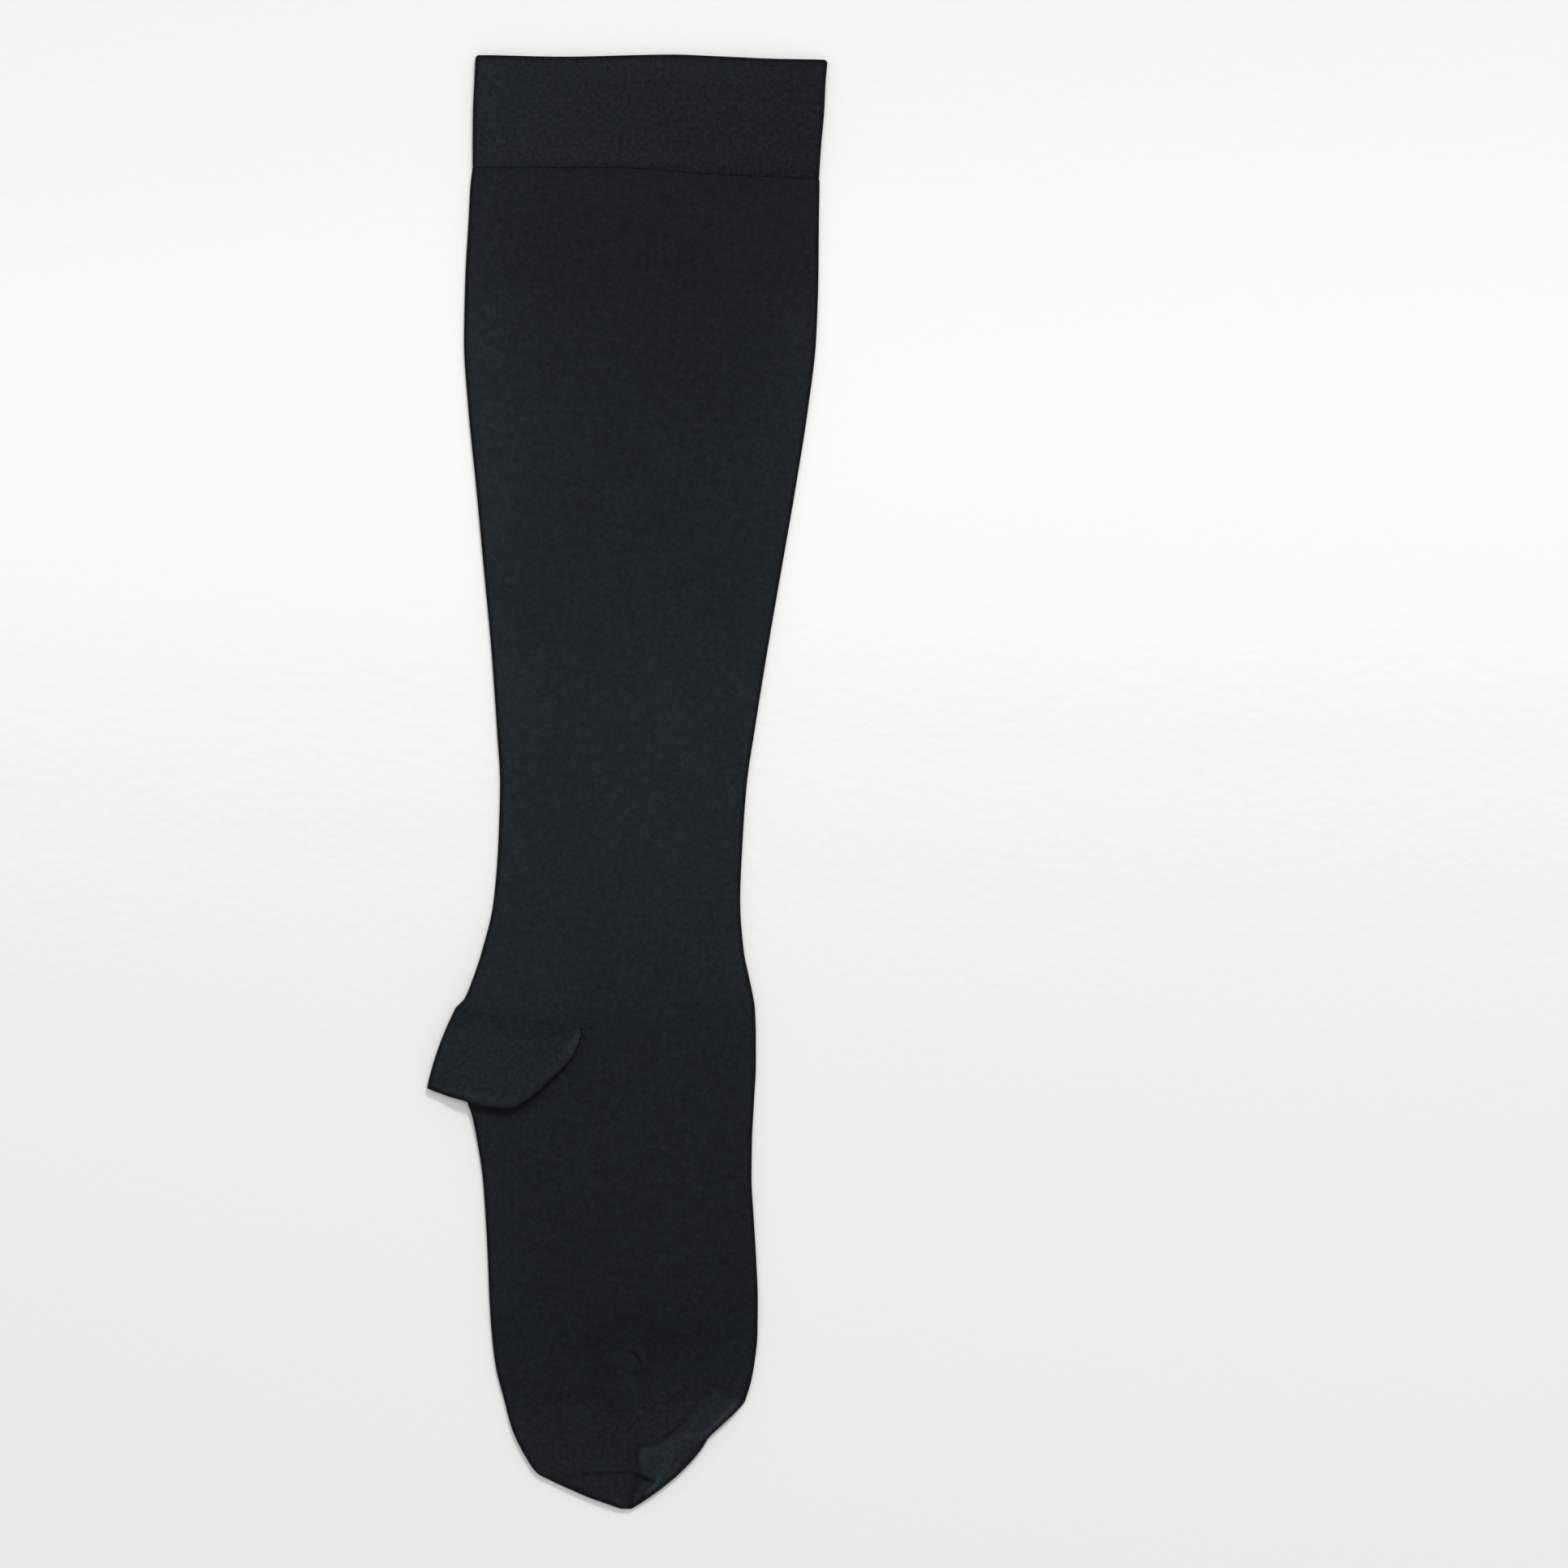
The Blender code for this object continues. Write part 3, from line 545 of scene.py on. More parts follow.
def heel_ramp(x, y):
    """0 on the flat leg, 1 at the heel seam."""
    return ease(1.0 - (y - line_y(HEEL_SEAM_LINE, x)) / LEG_RAMP)


def valley(x, y):
    """The soft valley along the heel seam, where the cuff begins."""
    return VALLEY_DEPTH * behind_gore(x) * bell(y - line_y(HEEL_SEAM_LINE, x), VALLEY_WIDTH)


def leg_bottom(x, y):
    seam_y = line_y(HEEL_SEAM_LINE, x)
    lifted = foot_bottom(x, seam_y) * (1.0 - behind_gore(x)) * heel_ramp(x, y)
    return lifted + crease_depth(CREASES_BELOW, x, y) * (1.0 - heel_ramp(x, y))


def leg_top(x, y):
    flat = upper_layer(LEG_WIDTHS, LEG_HEIGHT, x, y)
    flat = flat - SEAM_DIP * bell(line_y(BAND_SEAM_LINE, x) - y, SEAM_DIP_WIDTH)
    heel = foot_top(x, line_y(HEEL_SEAM_LINE, x)) + (SEAM_GAP + FLAP_WALL) * behind_gore(x)
    return lerp(flat, heel, heel_ramp(x, y)) - valley(x, y)


def floor_level(x, y):
    return 0.0 * x


def band_top(x, y):
    """The welt is level, and rolls down to its sewn edge, more so towards the front."""
    above_seam = y - line_y(BAND_SEAM_LINE, x)
    roll = lerp(BAND_ROLL_BACK, BAND_ROLL_FRONT, ease((x - BAND_ROLL_START) / BAND_ROLL_RUN))
    level = upper_layer(BAND_WIDTHS, BAND_HEIGHT, x, y)
    return level - roll * (1.0 - ease(above_seam / BAND_ROLL_WIDTH)) ** 2


def on_facet(x, y):
    """0 outside the toe's front facet, rising from its creases towards the front edge."""
    distance, side, _ = path_place(FACET_PATH, x, y)
    return ease(distance / FACET_WIDTH) * (side > 0.0)


def tip_thinning(y):
    """1 along the toe, falling to 0 where its end rounds away."""
    near = np.clip((y - TIP_Y) / TIP_ROUND, 0.0, 1.0)
    return np.sqrt(1.0 - (1.0 - near) ** 2)


def toe_bottom(x, y):
    return lerp(0.5 * TOE_HEIGHT, crease_depth(CREASES_BELOW, x, y), tip_thinning(y))


def toe_surface(x, y):
    """The toe is level with the foot at its seam, thicker below it, and creased by its folds."""
    depth = ease((line_y(TOE_SEAM_LINE, x) - y) / TOE_RISE)
    thick = upper_layer(TOE_WIDTHS, TOE_HEIGHT, x, y) + FACET_RISE * on_facet(x, y)
    height = lerp(foot_top(x, y), thick, depth)
    share = lerp(FOLD_START, 1.0, depth)
    for fold in TOE_FOLDS:
        if not nearby(fold.path, fold.settle, x, y):
            continue
        distance, side, _ = path_place(fold.path, x, y)
        height = height - share * fold.groove * bell(distance, fold.width)
        level = ease(distance / fold.width) * (1.0 - ease(distance / fold.settle))
        height = height - share * fold.step * level * (side > 0.0)
    return height


def toe_top(x, y):
    return lerp(0.5 * TOE_HEIGHT, toe_surface(x, y), tip_thinning(y))


# Rings and lofts

Tube = namedtuple("Tube", "widths bottom top detail")
BAND = Tube(BAND_WIDTHS, floor_level, band_top, LEG_DETAIL)
LEG = Tube(LEG_WIDTHS, leg_bottom, leg_top, LEG_DETAIL)
FOOT = Tube(FOOT_WIDTHS, foot_bottom, foot_top, LEG_DETAIL)
TOE = Tube(TOE_WIDTHS, toe_bottom, toe_top, TOE_DETAIL)
TOE_HOLLOW = Tube(TOE_WIDTHS, floor_level, lambda x, y: 0.0 * x + TOE_CAVITY + 2.0 * TOE_WALL, TOE_DETAIL)


def edge_point(tube, line, which):
    """The end of a line across the tube, on its back edge (0) or its front edge (1)."""
    x = 0.0
    for _ in range(EDGE_ROUNDS):
        y = line(x)
        x = width_at(tube.widths, y)[which]
    return x, y


def edge_stretch(tube, y, which):
    """How much longer a fold looks on a cut across it where the edge runs slanting."""
    run = width_at(tube.widths, y + SLOPE_STEP)[which] - width_at(tube.widths, y - SLOPE_STEP)[which]
    return math.hypot(1.0, run / (2 * SLOPE_STEP))


def spread(t):
    """Shares of the way across a layer, a little closer together towards the folds."""
    return 0.5 * (t + 0.5 - 0.5 * np.cos(math.pi * t))


def flat_ring(tube, line, inset):
    """One closed ring of the flattened tube along a line y(x), inset from its outer surface.

    It starts in the middle of the back fold, and runs over the upper layer, round the front fold
    and back along the lower layer.
    """

    def layers(x, y):
        return tube.bottom(x, y) + inset, tube.top(x, y) - inset

    ends = []
    for which, inward in ((0, 1.0), (1, -1.0)):
        x, y = edge_point(tube, line, which)
        low, high = layers(x, y)
        stretch = edge_stretch(tube, y, which)
        ends.append((x + inward * inset * stretch, 0.5 * (high - low) * stretch))
    (back_x, back_run), (front_x, front_run) = ends
    room = FOLD_ROOM * (front_x - back_x)
    back_run, front_run = min(back_run, room), min(front_run, room)
    start, end = back_x + back_run, front_x - front_run
    across = lerp(start, end, spread(np.linspace(0.0, 1.0, tube.detail.layer)))
    low, high = layers(across, line(across))
    upper = np.stack([across, line(across), high], 1)
    lower = np.stack([across, line(across), low], 1)[::-1]

    def fold(x, run, turn_start):
        angle = turn_start - math.pi * np.arange(1, tube.detail.fold + 1) / (tube.detail.fold + 1)
        px = x + run * np.cos(angle)
        return np.stack([px, line(px), lerp(*layers(x, line(x)), 0.5 + 0.5 * np.sin(angle))], 1)

    back_fold = fold(start, back_run, -math.pi / 2)
    front_fold = fold(end, front_run, math.pi / 2)
    half = tube.detail.fold // 2
    return np.concatenate([back_fold[half:], upper, front_fold, lower, back_fold[:half]])


def between(line_a, line_b, t):
    """The line a share t of the way from one line across the stocking to another."""
    return lambda x: lerp(line_a(x), line_b(x), t)


def moved(points, shift):
    """A line through points, moved along the stocking towards the hem."""
    return lambda x: line_y(points, x) + shift


def ring_shares(line_a, line_b, step_a, step_b):
    """Shares of the way between two lines, whose distance runs from one step to another."""
    length = abs(float(np.mean(line_a(ACROSS) - line_b(ACROSS))))
    count = max(2, math.ceil(length / (0.5 * (step_a + step_b))))
    t = np.linspace(0.0, 1.0, count + 1)
    steps = lerp(step_a, step_b, t)
    shares = np.concatenate([[0.0], np.cumsum(0.5 * (steps[1:] + steps[:-1]))])
    return shares / shares[-1]


def rings_between(tube, line_a, line_b, steps, inset):
    """Rings of a tube from one line across the stocking to another."""
    shares = ring_shares(line_a, line_b, *steps)
    return [flat_ring(tube, between(line_a, line_b, share), inset) for share in shares]


def new_object(name, data):
    made = bpy.data.objects.new(name, data)
    bpy.context.scene.collection.objects.link(made)
    return made


def loft(name, rings, joined_round):
    """A closed mesh through rings, joined round or closed at both ends, with its stitches as UVs."""
    rings = np.stack(rings)
    count, size = rings.shape[:2]
    rows = count if joined_round else count - 1
    i, j = np.meshgrid(np.arange(rows), np.arange(size), indexing="ij")
    after, beside = (i + 1) % count, (j + 1) % size
    quads = np.stack([i * size + j, i * size + beside, after * size + beside, after * size + j], 2)

    round_steps = np.linalg.norm(np.roll(rings, -1, 1) - rings, axis=2)
    u = np.concatenate([np.zeros((count, 1)), np.cumsum(round_steps, 1)], 1)
    u = WALES_ROUND * u / u[:, -1:]
    u = np.concatenate([u, u[:1]])
    along_steps = np.linalg.norm(np.roll(rings, -1, 0) - rings, axis=2).mean(1)
    v = np.concatenate([[0.0], np.cumsum(along_steps)]) / COURSE
    round_quad = ((0, 0), (0, 1), (1, 1), (1, 0))
    uvs = [np.stack([u[i + down, j + right], v[i + down]], 2) for down, right in round_quad]
    uvs = np.stack(uvs, 2).reshape(-1, 2)

    faces = quads.reshape(-1, 4).tolist()
    if not joined_round:
        last = size - 1
        for base in (0, (count - 1) * size):
            for k in range(last // 2):
                corners = (base + k, base + k + 1, base + last - k - 1, base + last - k)
                faces.append(list(dict.fromkeys(corners)))
    mesh = bpy.data.meshes.new(name)
    mesh.from_pydata((rings.reshape(-1, 3) * MM).tolist(), [], faces)
    layer = mesh.uv_layers.new(name="Knit")
    flat_uvs = np.zeros((len(mesh.loops), 2), np.float32)
    flat_uvs[: len(uvs)] = uvs
    layer.uv.foreach_set("vector", flat_uvs.ravel())
    bm = bmesh.new()
    bm.from_mesh(mesh)
    bmesh.ops.recalc_face_normals(bm, faces=bm.faces)
    bm.to_mesh(mesh)
    bm.free()
    mesh.shade_smooth()
    mesh.set_sharp_from_angle(angle=math.radians(SHARP_ANGLE))
    return new_object(name, mesh)


# The pieces

def make_band():
    """The turned welt: a doubled wall, round where it turns at the hem and at its sewn edge."""
    seam = moved(BAND_SEAM_LINE, 0.5 * SEAM_GAP - SEAM_SLANT)
    start = moved(BAND_SEAM_LINE, 0.5 * SEAM_GAP + BAND_SEAM_ROUND)
    turn = 0.5 * BAND_WALL
    end = moved(HEM_LINE, -turn)
    rings = []
    for angle in np.radians(SEAM_TURN_ANGLES):
        line = moved(BAND_SEAM_LINE, 0.5 * SEAM_GAP + BAND_SEAM_ROUND * (1.0 - math.cos(angle)))
        rings.append(flat_ring(BAND, line, BAND_SEAM_ROUND * (1.0 - math.sin(angle))))
    rings += rings_between(BAND, start, end, (BAND_RING_STEP, BAND_RING_STEP), 0.0)
    for k in range(1, HEM_TURN_STEPS + 1):
        angle = math.pi * k / HEM_TURN_STEPS
        line = moved(HEM_LINE, turn * (math.sin(angle) - 1.0))
        rings.append(flat_ring(BAND, line, turn * (1.0 - math.cos(angle))))
    rings += rings_between(BAND, end, seam, (RING_STEP, HIDDEN_RING_STEP), BAND_WALL)[1:]
    return loft("knit_band", rings, joined_round=True)


def make_leg_foot():
    """The main tube, from the band to the toe, with a shoulder where the foot leaves the heel."""

    def side(inset, slant, step, fine_step):
        leg_start = moved(BAND_SEAM_LINE, -0.5 * SEAM_GAP - slant)
        shoulder = moved(HEEL_SEAM_LINE, inset)
        below = moved(HEEL_SEAM_LINE, inset - SEAM_GAP)
        foot_end = moved(TOE_SEAM_LINE, 0.5 * SEAM_GAP + slant)
        rings = rings_between(LEG, leg_start, shoulder, (step, step), inset)
        return rings + rings_between(FOOT, below, foot_end, (step, fine_step), inset)

    outer = side(0.0, 0.0, RING_STEP, FINE_RING_STEP)
    inner = side(LEG_WALL, SEAM_SLANT, INNER_RING_STEP, INNER_RING_STEP)
    return loft("knit_leg_foot", outer + inner[::-1], joined_round=True)


def flap_underside(x, y):
    """Lower side of the cuff's upper part: on the foot, and sinking outside the foot's back edge."""
    back, _ = width_at(FOOT_WIDTHS, y)
    over_foot = foot_top(np.maximum(x, back), y) + SEAM_GAP
    outside = ease((back - x - FLAP_DROOP_START) / FLAP_DROOP_WIDTH)
    return lerp(over_foot, FLAP_WALL_BELOW + FLAP_TIP_GAP, outside)


def cuff_section(outer, inner, rim_direction):
    """A closed section of the cuff: its outer side down to the rim, round it, and back inside."""
    radius = 0.5 * math.dist(outer[-1], inner[-1])
    angle = math.pi * np.arange(1, RIM_STEPS) / RIM_STEPS
    t = (0.5 - 0.5 * np.cos(angle))[:, None]
    out = np.append(rim_direction, 0.0) * radius * RIM_FLATNESS
    rim = lerp(outer[-1], inner[-1], t) + np.sin(angle)[:, None] * out
    return np.concatenate([outer, rim, inner[::-1]])


def flap_row(t):
    """The cuff's row at a share t of the way through its sections."""
    places = np.arange(len(FLAP_SECTIONS))
    columns = [column(FLAP_SECTIONS, name) for name in Flap._fields[1:]]
    return Flap("between", *[float(smooth(places, values, t * places[-1])) for values in columns])


def rim_lift(lift, from_rim, t):
    """How far the cuff stands off the foot: it rises gently, and then quickly to its rolled rim."""
    roll = ease((FLAP_RIM_ROLL_START - from_rim) / FLAP_RIM_ROLL_WIDTH)
    return lift * lerp(t**2, roll, FLAP_RIM_ROLL)


def cuff_side(row, above):
    """A section of the cuff's part above the foot, or of its part below it."""
    seam = np.array([row.seam_x, line_y(HEEL_SEAM_LINE, row.seam_x) - SEAM_GAP])
    run = np.array([row.rim_x, row.rim_y]) - seam
    length = np.linalg.norm(run)
    direction = run / length
    if above:
        wall = FLAP_WALL * float(behind_gore(row.seam_x))
    else:
        wall = FLAP_WALL_BELOW
        length -= min(FLAP_SHORTER_BELOW, FLAP_SHORTER_SHARE * length)
    length -= 0.5 * RIM_FLATNESS * wall
    t = np.linspace(0.0, 1.0, FLAP_LENGTH_STEPS + 1)
    x, y = seam[:, None] + direction[:, None] * length * t
    hidden_y = y - SEAM_GAP * (1.0 - t)
    if above:
        low = flap_underside(x, y) + rim_lift(row.lift, length * (1.0 - t), t)
        top = low + wall - valley(x, y) - crease_depth(CREASES_ON_HEEL, x, y)
        outer, inner = np.stack([x, y, top], 1), np.stack([x, hidden_y, low], 1)
    else:
        outer, inner = np.stack([x, y, 0.0 * x], 1), np.stack([x, hidden_y, 0.0 * x + wall], 1)
    return cuff_section(outer, inner, direction)


def flap_edge(t, length):
    """The back edge of the cuff's fold, bulging between its top and its tip."""
    x, y = np.array(FLAP_FOLD_TOP)[:, None] + FLAP_FOLD_DIRECTION[:, None] * length * t
    return x - FLAP_FOLD_BULGE * 4.0 * t * (1.0 - t), y


def cuff_fold(angle):
    """A section of the cuff where it turns round the back of the foot, at an angle from the top."""
    before = FLAP_SECTIONS[-1]
    start = (before.seam_x, float(line_y(HEEL_SEAM_LINE, before.seam_x)) - SEAM_GAP)
    length = FLAP_FOLD_LENGTH - 0.25 * RIM_FLATNESS * (FLAP_WALL + FLAP_WALL_BELOW)
    t = np.linspace(0.0, 1.0, FLAP_LENGTH_STEPS + 1)
    edge_x, edge_y = flap_edge(t, length)
    side_x = lerp(start[0], before.rim_x, t) - edge_x
    side_y = lerp(start[1], before.rim_y, t) - edge_y
    side = np.hypot(side_x, side_y)
    lift = rim_lift(before.lift, length * (1.0 - t), t)
    high = flap_underside(edge_x + FLAP_FOLD_INSIDE, edge_y) + lift
    radius = 0.5 * (high + FLAP_WALL)
    inside_radius = 0.5 * (high - FLAP_WALL_BELOW)

    def points(r, middle, shift):
        reach = radius - r * math.sin(angle)
        x, y = edge_x + side_x / side * reach, edge_y + side_y / side * reach
        return np.stack([x, y - shift, middle + r * math.cos(angle)], 1)

    outer = points(radius, radius, 0.0)
    x, y = outer.T[:2]
    pressed = valley(x, y) + crease_depth(CREASES_ON_HEEL, x, y)
    outer[:, 2] -= pressed * max(0.0, math.cos(angle))
    inner = points(inside_radius, FLAP_WALL_BELOW + inside_radius, SEAM_GAP * (1.0 - t))
    return cuff_section(outer, inner, FLAP_FOLD_DIRECTION)


def cuff_approach(side, fold):
    """Sections of the cuff's part above the foot, from its last one to where its fold begins."""

    def creased(x, y):
        return -crease_depth(CREASES_ON_HEEL, x, y)

    sections = []
    outer = np.arange(len(side)) <= FLAP_LENGTH_STEPS
    for share in np.arange(1, FLAP_APPROACH_STEPS) / FLAP_APPROACH_STEPS:
        section = lerp(side, fold, share)
        for shape, where in ((flap_underside, True), (creased, outer)):
            straight = lerp(shape(*side.T[:2]), shape(*fold.T[:2]), share)
            section[:, 2] += where * (shape(*section.T[:2]) - straight)
        sections.append(section)
    return sections


def make_heel():
    """The heel pocket, folded down round the foot's back edge: over it, round it and under it."""
    steps = FLAP_SECTION_STEPS * (len(FLAP_SECTIONS) - 1)
    rows = [flap_row(t) for t in np.linspace(0.0, 1.0, steps + 1)]
    sections = [cuff_side(row, above=True) for row in rows]
    sections += cuff_approach(sections[-1], cuff_fold(0.0))
    sections += [cuff_fold(math.pi * k / FLAP_TURN_STEPS) for k in range(FLAP_TURN_STEPS + 1)]
    sections += [cuff_side(row, above=False) for row in rows[::-1]]
    return loft("knit_heel", sections, joined_round=False)


def make_toe():
    """The toe cap: a closed end with its folds on top."""
    seam = moved(TOE_SEAM_LINE, -0.5 * SEAM_GAP)
    inner_seam = moved(TOE_SEAM_LINE, SEAM_SLANT - 0.5 * SEAM_GAP)

    def level(y):
        return lambda x: y + 0.0 * x

    hollow_end, round_start = level(TIP_Y + 2.0 * TOE_WALL), level(TIP_Y + TIP_ROUND)
    hollow_steps = (HIDDEN_RING_STEP, RING_STEP)
    rings = rings_between(TOE_HOLLOW, inner_seam, hollow_end, hollow_steps, TOE_WALL)[::-1]
    rings += rings_between(TOE, seam, round_start, (FINE_RING_STEP, TIP_RING_STEP), 0.0)
    for angle in np.radians(TIP_ANGLES):
        rings.append(flat_ring(TOE, level(TIP_Y + TIP_ROUND * (1.0 - math.sin(angle))), 0.0))
    return loft("knit_toe", rings, joined_round=False)


# Finish

# What the points of a shell carry: how light the knit is drawn, painted light and shade included, and how
# much redder and bluer
CARRIED = ("tone", "red", "blue")
Knit = namedtuple("Knit", "slot colour stitch_depth roughness mottle")
KNITS = {
    "band": Knit("band_knit", (0.0077, 0.0110, 0.0153), 0.12, 0.58, 0.38),
    "leg": Knit("leg_knit", (0.0075, 0.0115, 0.0148), 0.10, 0.55, 0.27),
    "heel": Knit("heel_knit", (0.0113, 0.0167, 0.0200), 0.12, 0.57, 0.28),
    "toe": Knit("toe_knit", (0.0089, 0.0123, 0.0154), 0.12, 0.57, 0.34),
}
SPECULAR = 0.11
SHEEN = 0.02
SHEEN_ROUGHNESS = 0.4
SHEEN_TINT = (0.86, 0.95, 1.0, 1.0)
FUZZ = 0.45
DARKEST = 0.05
STITCH_CLIMB = 0.55
BEAD_DEPTH = 0.30
ROUGHER_BETWEEN = 0.12
BUMP_STRENGTH = 0.6

# Noises in the knit and the floor, the range that they mostly lie in, and what it is turned into
Noise = namedtuple("Noise", "scale detail")
MOTTLE = Noise(640.0, 2.0)
YARN = Noise(450.0, 1.0)
DYE = Noise(300.0, 1.0)
CLOUD = Noise(22.0, 2.0)
PEEL = Noise(260.0, 1.5)
NOISE_LOW = 0.3
NOISE_HIGH = 0.7
# Painted shade in the gaps between stitches and painted light on their tops, as the lightness at a
# stitch's bottom and top
STITCH_PAINTED_SHADING = (0.72, 1.22)
CLOUD_TONE = (0.96, 1.04)
RED_SPREAD = (0.84, 1.16)
GREEN_SPREAD = (0.90, 1.10)
BLUE_SPREAD = (1.06, 0.94)


class Nodes:
    """A material's node tree, with short ways to add nodes and to join them."""

    def __init__(self, name):
        self.material = bpy.data.materials.new(name)
        self.material.use_nodes = True
        self.tree = self.material.node_tree
        self.shader = self.tree.nodes["Principled BSDF"]

    def add(self, kind, inputs=(), **settings):
        node = self.tree.nodes.new(kind)
        for key, value in settings.items():
            setattr(node, key, value)
        for key, value in dict(inputs).items():
            if isinstance(value, bpy.types.NodeSocket):
                self.tree.links.new(value, node.inputs[key])
            else:
                node.inputs[key].default_value = value
        return node

    def math(self, operation, *values):
        return self.add("ShaderNodeMath", dict(enumerate(values)), operation=operation).outputs[0]

    def vector_math(self, operation, *values):
        node = self.add("ShaderNodeVectorMath", dict(enumerate(values)), operation=operation)
        return node.outputs["Vector"]

    def mapped(self, value, to_low, to_high, low=0.0, high=1.0):
        inputs = {"Value": value, "From Min": low, "From Max": high, "To Min": to_low, "To Max": to_high}
        return self.add("ShaderNodeMapRange", inputs).outputs["Result"]

    def noise(self, position, noise):
        inputs = {"Vector": position, "Scale": noise.scale, "Detail": noise.detail}
        return self.add("ShaderNodeTexNoise", inputs).outputs["Fac"]

    def noise_mapped(self, value, to_low, to_high):
        return self.mapped(value, to_low, to_high, NOISE_LOW, NOISE_HIGH)

    def to_shader(self, key, value):
        self.tree.links.new(value, self.shader.inputs[key])

    def set_shader(self, values):
        for key, value in values.items():
            self.shader.inputs[key].default_value = value


def stitch_height(nodes, stitches):
    """The height of plain knit: each wale is a column of V shapes, two slanting legs a stitch."""
    parts = nodes.add("ShaderNodeSeparateXYZ", {"Vector": stitches})
    column = nodes.math("FRACT", parts.outputs["X"])
    from_middle = nodes.math("ABSOLUTE", nodes.math("MULTIPLY_ADD", column, 2.0, -1.0))
    leg = nodes.math("SINE", nodes.math("MULTIPLY", from_middle, math.pi))
    climb = nodes.math("MULTIPLY_ADD", from_middle, STITCH_CLIMB, parts.outputs["Y"])
    row = nodes.math("SINE", nodes.math("MULTIPLY", climb, 2.0 * math.pi))
    bead = nodes.math("MULTIPLY_ADD", row, BEAD_DEPTH, 1.0 - BEAD_DEPTH)
    return nodes.math("MULTIPLY", leg, bead)


def knit_material(name, knit):
    """Matt dark yarn: stitches, gentle mottling, and the tone and hue that the points carry, the tone
    with its painted light and shade.
    """
    nodes = Nodes(name)
    stitches = nodes.add("ShaderNodeUVMap", uv_map="Knit").outputs["UV"]
    position = nodes.add("ShaderNodeTexCoord").outputs["Object"]
    height = stitch_height(nodes, stitches)
    mottle, yarn, cloud, dye = [nodes.noise(position, noise) for noise in (MOTTLE, YARN, CLOUD, DYE)]
    share, red, blue = [
        nodes.add("ShaderNodeAttribute", attribute_name=key).outputs["Fac"] for key in CARRIED
    ]
    stitched = nodes.math("MULTIPLY", nodes.mapped(height, *STITCH_PAINTED_SHADING), share)
    level = nodes.math("MULTIPLY", stitched, nodes.noise_mapped(cloud, *CLOUD_TONE))
    grain = nodes.noise_mapped(mottle, -knit.mottle, knit.mottle)
    tone = nodes.math("MULTIPLY_ADD", grain, nodes.math("SQRT", share), level)
    tone = nodes.math("MAXIMUM", tone, DARKEST)
    hue = nodes.add("ShaderNodeCombineXYZ", {
        "X": nodes.math("ADD", nodes.noise_mapped(yarn, *RED_SPREAD), red),
        "Y": nodes.noise_mapped(dye, *GREEN_SPREAD),
        "Z": nodes.math("ADD", nodes.noise_mapped(yarn, *BLUE_SPREAD), blue),
    })
    plain = nodes.vector_math("MULTIPLY", hue.outputs["Vector"], tuple(knit.colour))
    shown = nodes.add("ShaderNodeVectorMath", {"Vector": plain, "Scale": tone}, operation="SCALE")
    nodes.to_shader("Base Color", shown.outputs["Vector"])
    rough = nodes.mapped(height, knit.roughness + ROUGHER_BETWEEN, knit.roughness)
    nodes.to_shader("Roughness", rough)
    surface = nodes.math("ADD", height, nodes.math("MULTIPLY", mottle, FUZZ))
    bump = {"Strength": BUMP_STRENGTH, "Distance": knit.stitch_depth * MM, "Height": surface}
    nodes.to_shader("Normal", nodes.add("ShaderNodeBump", bump).outputs["Normal"])
    nodes.set_shader({
        "Specular IOR Level": SPECULAR,
        "Sheen Weight": SHEEN,
        "Sheen Roughness": SHEEN_ROUGHNESS,
        "Sheen Tint": SHEEN_TINT,
    })
    return nodes.material


# How light the knit is drawn along the stocking, partly its own lightness and partly painted light, a
# painted sheen brightest about the lower shin; and how much redder and bluer
Tone = namedtuple("Tone", "place y share red blue")
TONES = rows_of(
    Tone,
    ("band seam", 228.0, 0.69, 0.04, 0.0),
    ("under the band", 214.0, 0.66, 0.04, 0.0),
    ("below the knee", 190.0, 0.625, 0.04, 0.0),
    ("top of the calf", 176.0, 0.725, 0.03, 0.0),
    ("widest calf", 164.0, 0.77, 0.02, 0.0),
    ("upper calf", 154.0, 0.785, 0.02, 0.0),
    ("middle of the calf", 144.0, 0.835, 0.01, 0.0),
    ("lower calf", 134.0, 0.885, 0.01, 0.0),
    ("below the calf", 124.0, 0.93, 0.0, 0.0),
    ("upper shin", 109.0, 0.96, 0.0, 0.0),
    ("shin", 64.0, 1.07, -0.04, 0.0),
    ("lower shin", 19.0, 1.33, -0.04, -0.02),
    ("above the ankle", -26.0, 1.27, -0.04, -0.02),
    ("ankle", -56.0, 1.13, -0.03, 0.0),
    ("instep", -101.0, 0.86, 0.0, -0.01),
    ("arch", -131.0, 0.80, 0.0, -0.045),
    ("middle of foot", -161.0, 0.75, 0.0, -0.075),
    ("ball of foot", -185.0, 0.70, -0.01, -0.10),
    ("base of toes", -205.0, 0.585, -0.12, -0.13),
    ("above the seam", -214.0, 0.675, -0.05, -0.12),
    ("toe seam", -228.0, 0.735, -0.02, -0.03),
    ("toes", -242.0, 0.85, 0.0, -0.02),
    ("tip", -268.0, 1.05, 0.0, -0.02),
)

